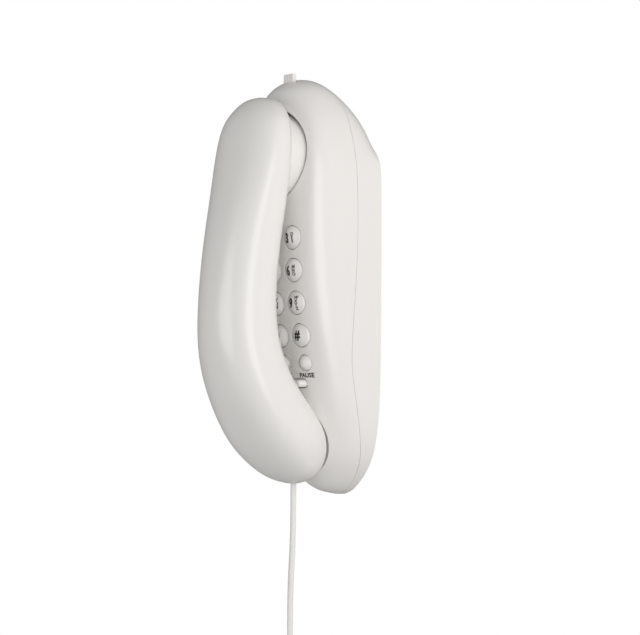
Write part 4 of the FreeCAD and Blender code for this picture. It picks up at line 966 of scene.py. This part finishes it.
def key_print(key, figure_height, letter_height):
    """Figure on a key's dome, with any letters stacked beside it, as points and faces."""
    flat, faces = lettering(key.figure, figure_height, FIGURE_WEIGHT)
    if key.letters:
        stacked = "\n".join(key.letters)
        small, more = lettering(stacked, letter_height, LETTERS_WEIGHT, lines=LETTERS_LINES)
        faces = faces + [[i + len(flat) for i in face] for face in more]
        flat = np.concatenate([flat + (FIGURE_SHIFT, 0.0), small + (LETTERS_SHIFT, 0.0)])
    height = dome_height(key.radius, key.top, (flat ** 2).sum(1)) + INK_PROUD
    points = on_board(key.x, key.along, 0.0) + flat[:, :1] * ACROSS + flat[:, 1:] * BOARD_UP
    return points + height[:, None] * BOARD_OUT, faces


def word_print(key, height):
    """Word on the base's front below a function key, as points and faces."""
    flat, faces = lettering(key.letters, height, WORD_WEIGHT, WORD_SPACING)
    centre = on_board(key.x, key.along - key.radius - WORD_DROP, key.top - KEY_PROUD)
    flat = flat + centre[[0, 2]]
    depth = depth_at(BASE_ROWS, flat[:, 0], flat[:, 1]) - INK_PROUD
    return np.stack([flat[:, 0], depth, flat[:, 1]], -1), faces


def printed(name, points, faces, body):
    """Thin ink piece from points already laid on a surface."""
    mesh = bpy.data.meshes.new(name)
    mesh.from_pydata((points * MM).tolist(), [], faces)
    solid = finish_piece(name, mesh, body, INK).modifiers.new("ink", "SOLIDIFY")
    solid.thickness = INK_THICKNESS * MM
    solid.offset = -1.0


def route_points():
    """The cord's control points from the handset's plug to the base's, in millimetres,
    and the lower end of the handset's lead."""
    lead = HANDSET_PLUG_END + LEAD
    end = lead[-1]
    near = end + BOW[:, :1] * LEAD_SIDE - BOW[:, 1:] * UPRIGHT
    far = end + (LEAD_SPACING - BOW[::-1, :1]) * LEAD_SIDE - BOW[::-1, 1:] * UPRIGHT
    other = (lead + LEAD_SIDE * LEAD_SPACING)[::-1]
    return np.concatenate([lead, near, far, other, [BASE_PLUG_END]]), end


def spline_points(points):
    """Points of the smooth curve that has the given control points, in millimetres."""
    curve = bpy.data.curves.new("route", "CURVE")
    curve.dimensions = "3D"
    line = curve.splines.new("NURBS")
    line.points.add(len(points) - 1)
    placed = np.pad(points * MM, ((0, 0), (0, 1)), constant_values=1.0)
    line.points.foreach_set("co", placed.ravel())
    line.order_u = 3
    line.use_endpoint_u = True
    curve.resolution_u = 32
    mesh = curve_mesh(curve)
    read = np.zeros(len(mesh.vertices) * 3)
    mesh.vertices.foreach_get("co", read)
    bpy.data.meshes.remove(mesh)
    return read.reshape(-1, 3) / MM


def even_points(points, step):
    """The same line at even steps, and the run up to each point."""
    run = np.concatenate([[0.0], np.cumsum(np.linalg.norm(np.diff(points, axis=0), axis=1))])
    at = np.linspace(0.0, run[-1], max(2, int(round(run[-1] / step)) + 1))
    return np.stack([np.interp(at, run, points[:, i]) for i in range(3)], -1), at


def wound_line(curl_radius, curls):
    """The wire's middle line. Along the route r is the distance by which the curls' middle
    has left the lead's line, up to the curls' radius, and the wire lies at
    r (inward cos t + across sin t) from it. The angle t starts to grow when r is half of
    the curls' radius, and grows evenly once r is full."""
    control, end = route_points()
    route, run = even_points(spline_points(control), ROUTE_STEP)
    aside = (route - end) @ LEAD_SIDE
    half = run < run[-1] / 2.0
    shift = np.where(half, -aside, aside - LEAD_SPACING)
    low = route[:, 2] < end[2] + CURLS_START
    radius = np.clip(np.where(low, shift, 0.0), 0.0, curl_radius)
    grown = np.clip((radius / curl_radius - TURN_SHARE) / (1.0 - TURN_SHARE), 0.0, 1.0)
    rate = np.concatenate([[0.0], np.cumsum(grown[1:] * np.diff(run))])
    angle = 2.0 * np.pi * curls * rate / rate[-1]
    along = np.gradient(route, axis=0)
    along /= np.linalg.norm(along, axis=1, keepdims=True)
    across = np.cross(LEAD_SIDE, UPRIGHT)
    inward = np.cross(across, along)
    turn = inward * np.cos(angle)[:, None] + across * np.sin(angle)[:, None]
    return route + radius[:, None] * turn


def tube(points, radius, sides):
    """Rings of a round tube. The first ring's direction is carried along the line with
    no twist: each frame turns only as much as the line does."""
    way = np.gradient(points, axis=0)
    way /= np.linalg.norm(way, axis=1, keepdims=True)
    side = np.zeros_like(way)
    current = np.cross(way[0], CORD_SIDE)
    for n in range(len(way)):
        current = current - way[n] * (current @ way[n])
        current /= np.linalg.norm(current)
        side[n] = current
    other = np.cross(way, side)
    angle = np.linspace(0.0, 2.0 * np.pi, sides, endpoint=False)[None, :, None]
    around = np.cos(angle) * side[:, None] + np.sin(angle) * other[:, None]
    return points[:, None] + radius * around


# Sizes and colours that a user would change.

class PhoneSizes(bpy.types.PropertyGroup):
    seam_gap: FloatProperty(
        name="Seam gap", description="Width of the parting lines between the shells",
        default=0.0002, min=0.00005, max=0.001, unit="LENGTH", precision=5)
    edge_ease: FloatProperty(
        name="Edge ease", description="Radius that eases the edges of the holes in the base",
        default=0.00025, min=0.00005, max=0.0005, unit="LENGTH", precision=5)
    figure_height: FloatProperty(
        name="Figure height", description="Height of the figures on the keys",
        default=0.0046, min=0.002, max=0.006, unit="LENGTH", precision=5)
    letter_height: FloatProperty(
        name="Letter height", description="Height of the small letters beside a figure",
        default=0.0016, min=0.0008, max=0.002, unit="LENGTH", precision=5)
    word_height: FloatProperty(
        name="Word height", description="Height of the words under the function keys",
        default=0.0022, min=0.001, max=0.003, unit="LENGTH", precision=5)
    cord_diameter: FloatProperty(
        name="Cord diameter", description="Thickness of the cord's round jacket",
        default=0.0029, min=0.002, max=0.004, unit="LENGTH", precision=5)
    curl_radius: FloatProperty(
        name="Curl radius", description="Distance of the wound wire from the middle of its curls",
        default=0.0046, min=0.003, max=0.006, unit="LENGTH", precision=5)
    curls: IntProperty(
        name="Curls", description="Turns of the curly part of the cord", default=60, min=10, max=90)


class PhoneColours(bpy.types.PropertyGroup):
    housing: FloatVectorProperty(
        name="Base", description="Colour of the base's two housings",
        subtype="COLOR", default=(0.845, 0.829, 0.813), min=0.0, max=1.0)
    handset: FloatVectorProperty(
        name="Handset", description="Colour of the handset's two shells",
        subtype="COLOR", default=(0.845, 0.829, 0.817), min=0.0, max=1.0)
    keys: FloatVectorProperty(
        name="Keys", description="Colour of the keys, the hook bar and the ringer knob",
        subtype="COLOR", default=(0.96, 0.945, 0.925), min=0.0, max=1.0)
    cord: FloatVectorProperty(
        name="Cord", description="Colour of the cord's jacket",
        subtype="COLOR", default=(0.92, 0.915, 0.905), min=0.0, max=1.0)


class PhoneStage(bpy.types.PropertyGroup):
    azimuth: FloatProperty(
        name="Azimuth", description="How far the camera stands to the right of the front",
        subtype="ANGLE", default=math.radians(50.0))
    elevation: FloatProperty(
        name="Elevation", description="Height of the camera's line of sight",
        subtype="ANGLE", default=math.radians(-2.0))
    distance: FloatProperty(
        name="Distance", description="From the camera to the phone", default=1.2, unit="LENGTH")
    lens: FloatProperty(
        name="Lens", description="Focal length in millimetres", default=126.9)
    side_light: FloatProperty(
        name="Side light", description="Power of the soft light on the right, in watts",
        default=4.8, min=0.0)
    front_light: FloatProperty(
        name="Front light", description="Power of the soft light in front, in watts",
        default=5.2, min=0.0)
    room_light: FloatProperty(
        name="Room light", description="Strength of the even light all round",
        default=0.2, min=0.0)
    window_light: FloatProperty(
        name="Window light", description="How much stronger the room is on its bright side",
        default=0.96, min=0.0)


class PHONE_OT_base(bpy.types.Operator):
    """Build the base's front and back housings"""

    bl_idname = "phone.base"
    bl_label = "Base housings"

    def execute(self, context):
        sizes = context.scene.phone_sizes
        shells = base_shells(sizes.seam_gap / MM, sizes.edge_ease / MM)
        for name, mesh in zip(("front_housing", "back_housing"), shells):
            finish_piece(name, mesh, "base", "housing_white", ["base_" + name])
        return {"FINISHED"}


class PHONE_OT_handset(bpy.types.Operator):
    """Build the handset's outer and inner shells"""

    bl_idname = "phone.handset"
    bl_label = "Handset shells"

    def execute(self, context):
        shells = handset_shells(context.scene.phone_sizes.seam_gap / MM)
        for name, mesh in zip(("outer_shell", "inner_shell"), shells):
            finish_piece(name, mesh, "handset", "handset_white", ["handset_" + name])
        return {"FINISHED"}


class PHONE_OT_keys(bpy.types.Operator):
    """Build the domed keys"""

    bl_idname = "phone.keys"
    bl_label = "Keys"

    def execute(self, context):
        for key in key_places():
            foot = on_board(key.x, key.along, 0.0)
            profile = key_profile(key.radius, key.top)
            rings = turned(profile, foot, BOARD_OUT, ACROSS, KEY_SIDES)
            mesh = new_mesh(key.name, rings[1:-1], rings[0, 0], rings[-1, 0])
            finish_piece(key.name + "_cap", mesh, key.name + "_button", "key_white", [key.name])
        return {"FINISHED"}


class PHONE_OT_hook_bar(bpy.types.Operator):
    """Build the bar that the handset holds in"""

    bl_idname = "phone.hook_bar"
    bl_label = "Hook bar"

    def execute(self, context):
        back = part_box("hook_plunger")[1][1] / MM
        bar = stadium(HOOK_LENGTH, HOOK_THICKNESS)
        lip = stadium(HOOK_LIP[0], HOOK_LIP[1])
        stops = [(bar(-a), HOOK_TIP + b) for a, b in quarter(HOOK_ROUNDING, 9)[::-1]]
        stops += [(bar(0.0), back - HOOK_LIP[2]), (lip(0.0), back - HOOK_LIP[2]), (lip(0.0), back)]
        rings = np.array([
            np.stack([flat[:, 0], np.full(len(flat), depth), HOOK_HEIGHT + flat[:, 1]], -1)
            for flat, depth in stops])
        mesh = new_mesh("hook_bar", rings)
        finish_piece("hook_bar", mesh, "hook_plunger", "hook_white", ["hook_plunger"])
        return {"FINISHED"}


class PHONE_OT_print(bpy.types.Operator):
    """Print the figures and letters on the keys and the words under the function keys"""

    bl_idname = "phone.print"
    bl_label = "Printing"

    def execute(self, context):
        sizes = context.scene.phone_sizes
        for key in key_places():
            if key.figure:
                points, faces = key_print(key, sizes.figure_height / MM, sizes.letter_height / MM)
                printed(key.name + "_print", points, faces, key.name + "_button")
            else:
                points, faces = word_print(key, sizes.word_height / MM)
                printed(key.letters.lower() + "_word", points, faces, "base")
        return {"FINISHED"}


class PHONE_OT_small_parts(bpy.types.Operator):
    """Give the CAD nodes that stay their finishes"""

    bl_idname = "phone.small_parts"
    bl_label = "Small parts"

    def execute(self, context):
        finish_of = finishes()
        for name, node in frame["nodes"].items():
            for held in node.material_slots:
                known = held.material.name.split(".")[0] if held.material else ""
                if known not in finish_of:
                    raise RuntimeError(f"node {name} has no finish for its slot {known}")
                held.material = finish_of[known]
        return {"FINISHED"}


class PHONE_OT_cord(bpy.types.Operator):
    """Build the cord from the handset's plug to the base's"""

    bl_idname = "phone.cord"
    bl_label = "Cord"

    def execute(self, context):
        sizes = context.scene.phone_sizes
        line = wound_line(sizes.curl_radius / MM, sizes.curls)
        middle, run = even_points(line, CORD_STEP)
        mesh = new_mesh("cord", tube(middle, sizes.cord_diameter / MM / 2.0, CORD_SIDES))
        cord = finish_piece("cord", mesh, "handset", "cord_white", sharp=60.0)
        cord.parent = None
        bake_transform(cord)
        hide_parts("handset_cord_lead", "curly_cord", "base_cord_lead")
        return {"FINISHED"}


def set_floor():
    """A pale round floor, which the camera sees as lighter than it is lit."""
    edge, bottom = circle(FLOOR_RADIUS, RING_SIDES), FLOOR_BOTTOM * UPRIGHT
    mesh = new_mesh("floor", rings_along(edge, bottom, UPRIGHT, ACROSS, (0.0, FLOOR_THICKNESS)))
    floor = bpy.data.objects.new("floor", mesh)
    bpy.context.scene.collection.objects.link(floor)
    pale = finish("floor_pale", (0.8, 0.8, 0.8), (0.78, 0.78, 0.78), (0.7, 0.8), 300.0)
    tree = pale.node_tree
    seen_first = add_node(tree, "ShaderNodeLightPath")
    glow = add_node(tree, "ShaderNodeMath", {1: FLOOR_GLOW}, operation="MULTIPLY")
    tree.links.new(seen_first.outputs["Is Camera Ray"], glow.inputs[0])
    tree.links.new(glow.outputs[0], tree.nodes["Principled BSDF"].inputs["Emission Strength"])
    mesh.materials.append(pale)


def set_room(even, window):
    """World light of an even strength that rises smoothly towards the window's side. The
    camera sees plain white instead, also through clear pieces."""
    world = bpy.data.worlds.new("studio")
    bpy.context.scene.world = world
    world.use_nodes = True
    tree = world.node_tree
    link = tree.links.new
    room = tree.nodes["Background"]
    set_inputs(room, {"Color": ROOM_COLOUR})
    place = add_node(tree, "ShaderNodeTexCoord")
    toward = add_node(tree, "ShaderNodeVectorMath", {1: WINDOW_DIRECTION}, operation="DOT_PRODUCT")
    glow = add_node(tree, "ShaderNodeMapRange", {
        "From Min": WINDOW_START, "To Min": even, "To Max": even + window,
    }, interpolation_type="SMOOTHSTEP")
    link(place.outputs["Generated"], toward.inputs[0])
    link(toward.outputs["Value"], glow.inputs["Value"])
    link(glow.outputs["Result"], room.inputs["Strength"])
    seen = add_node(tree, "ShaderNodeBackground", {"Color": WHITE, "Strength": 1.0})
    path = add_node(tree, "ShaderNodeLightPath")
    either = add_node(tree, "ShaderNodeMath", operation="MAXIMUM")
    link(path.outputs["Is Camera Ray"], either.inputs[0])
    link(path.outputs["Is Transmission Ray"], either.inputs[1])
    mix = add_node(tree, "ShaderNodeMixShader")
    link(either.outputs[0], mix.inputs[0])
    link(room.outputs[0], mix.inputs[1])
    link(seen.outputs[0], mix.inputs[2])
    link(mix.outputs[0], tree.nodes["World Output"].inputs["Surface"])


def set_lamp(name, power, place):
    """A round soft lamp that shines at the phone."""
    lamp = bpy.data.lights.new(name, "AREA")
    lamp.shape = "DISK"
    lamp.size = LAMP_SIZE
    lamp.energy = power
    light = bpy.data.objects.new(name, lamp)
    light.location = place
    light.rotation_mode = "QUATERNION"
    light.rotation_quaternion = (Vector(LAMP_AIM) - light.location).to_track_quat("-Z", "Y")
    bpy.context.scene.collection.objects.link(light)


def set_camera(azimuth, elevation, distance, focal_length):
    """The camera, at a distance from a point a little left of and below the middle."""
    level = math.cos(elevation)
    back = Vector((math.sin(azimuth) * level, -math.cos(azimuth) * level, math.sin(elevation)))
    right = Vector((math.cos(azimuth), math.sin(azimuth), 0.0))
    aim = right * CAMERA_AIM[0] + back.cross(right) * CAMERA_AIM[1]
    lens = bpy.data.cameras.new("camera")
    lens.lens = focal_length
    lens.sensor_width = SENSOR_WIDTH
    lens.clip_start, lens.clip_end = CLIP_RANGE
    camera = bpy.data.objects.new("camera", lens)
    camera.rotation_mode = "QUATERNION"
    camera.location = aim + back * distance
    camera.rotation_quaternion = (-back).to_track_quat("-Z", "Y")
    bpy.context.scene.collection.objects.link(camera)
    bpy.context.scene.camera = camera


class PHONE_OT_stage(bpy.types.Operator):
    """Set the floor, the lights and the camera"""

    bl_idname = "phone.stage"
    bl_label = "Stage"

    def execute(self, context):
        stage = context.scene.phone_stage
        set_floor()
        set_room(stage.room_light, stage.window_light)
        set_lamp("side_light", stage.side_light, SIDE_LAMP)
        set_lamp("front_light", stage.front_light, FRONT_LAMP)
        set_camera(stage.azimuth, stage.elevation, stage.distance, stage.lens)
        context.scene.view_settings.view_transform = "Standard"
        return {"FINISHED"}


OPERATORS = (
    PHONE_OT_base, PHONE_OT_handset, PHONE_OT_keys, PHONE_OT_hook_bar, PHONE_OT_print,
    PHONE_OT_small_parts, PHONE_OT_cord, PHONE_OT_stage,
)


class PHONE_PT_panel(bpy.types.Panel):
    """Sizes, colours and building steps of the telephone"""

    bl_idname = "PHONE_PT_panel"
    bl_label = "Telephone"
    bl_space_type = "VIEW_3D"
    bl_region_type = "UI"
    bl_category = "Telephone"

    def draw(self, context):
        scene = context.scene
        for group in (scene.phone_sizes, scene.phone_colours, scene.phone_stage):
            column = self.layout.box()
            for name in group.__annotations__:
                column.prop(group, name)
        for operator in OPERATORS:
            self.layout.operator(operator.bl_idname)


GROUPS = {"phone_sizes": PhoneSizes, "phone_colours": PhoneColours, "phone_stage": PhoneStage}


def register():
    """Adds the classes, and one group of each kind to the scene."""
    for cls in (*GROUPS.values(), *OPERATORS, PHONE_PT_panel):
        bpy.utils.register_class(cls)
    for name, group in GROUPS.items():
        setattr(bpy.types.Scene, name, PointerProperty(type=group))


def unregister():
    """Takes away what register adds."""
    for name in GROUPS:
        delattr(bpy.types.Scene, name)
    for cls in reversed((*GROUPS.values(), *OPERATORS, PHONE_PT_panel)):
        bpy.utils.unregister_class(cls)


def main():
    """Builds every piece in order, and then the stage."""
    register()
    for step in (
        bpy.ops.phone.base, bpy.ops.phone.handset, bpy.ops.phone.keys, bpy.ops.phone.hook_bar,
        bpy.ops.phone.print, bpy.ops.phone.small_parts, bpy.ops.phone.cord, bpy.ops.phone.stage,
    ):
        step()


if __name__ == "__main__":
    main()
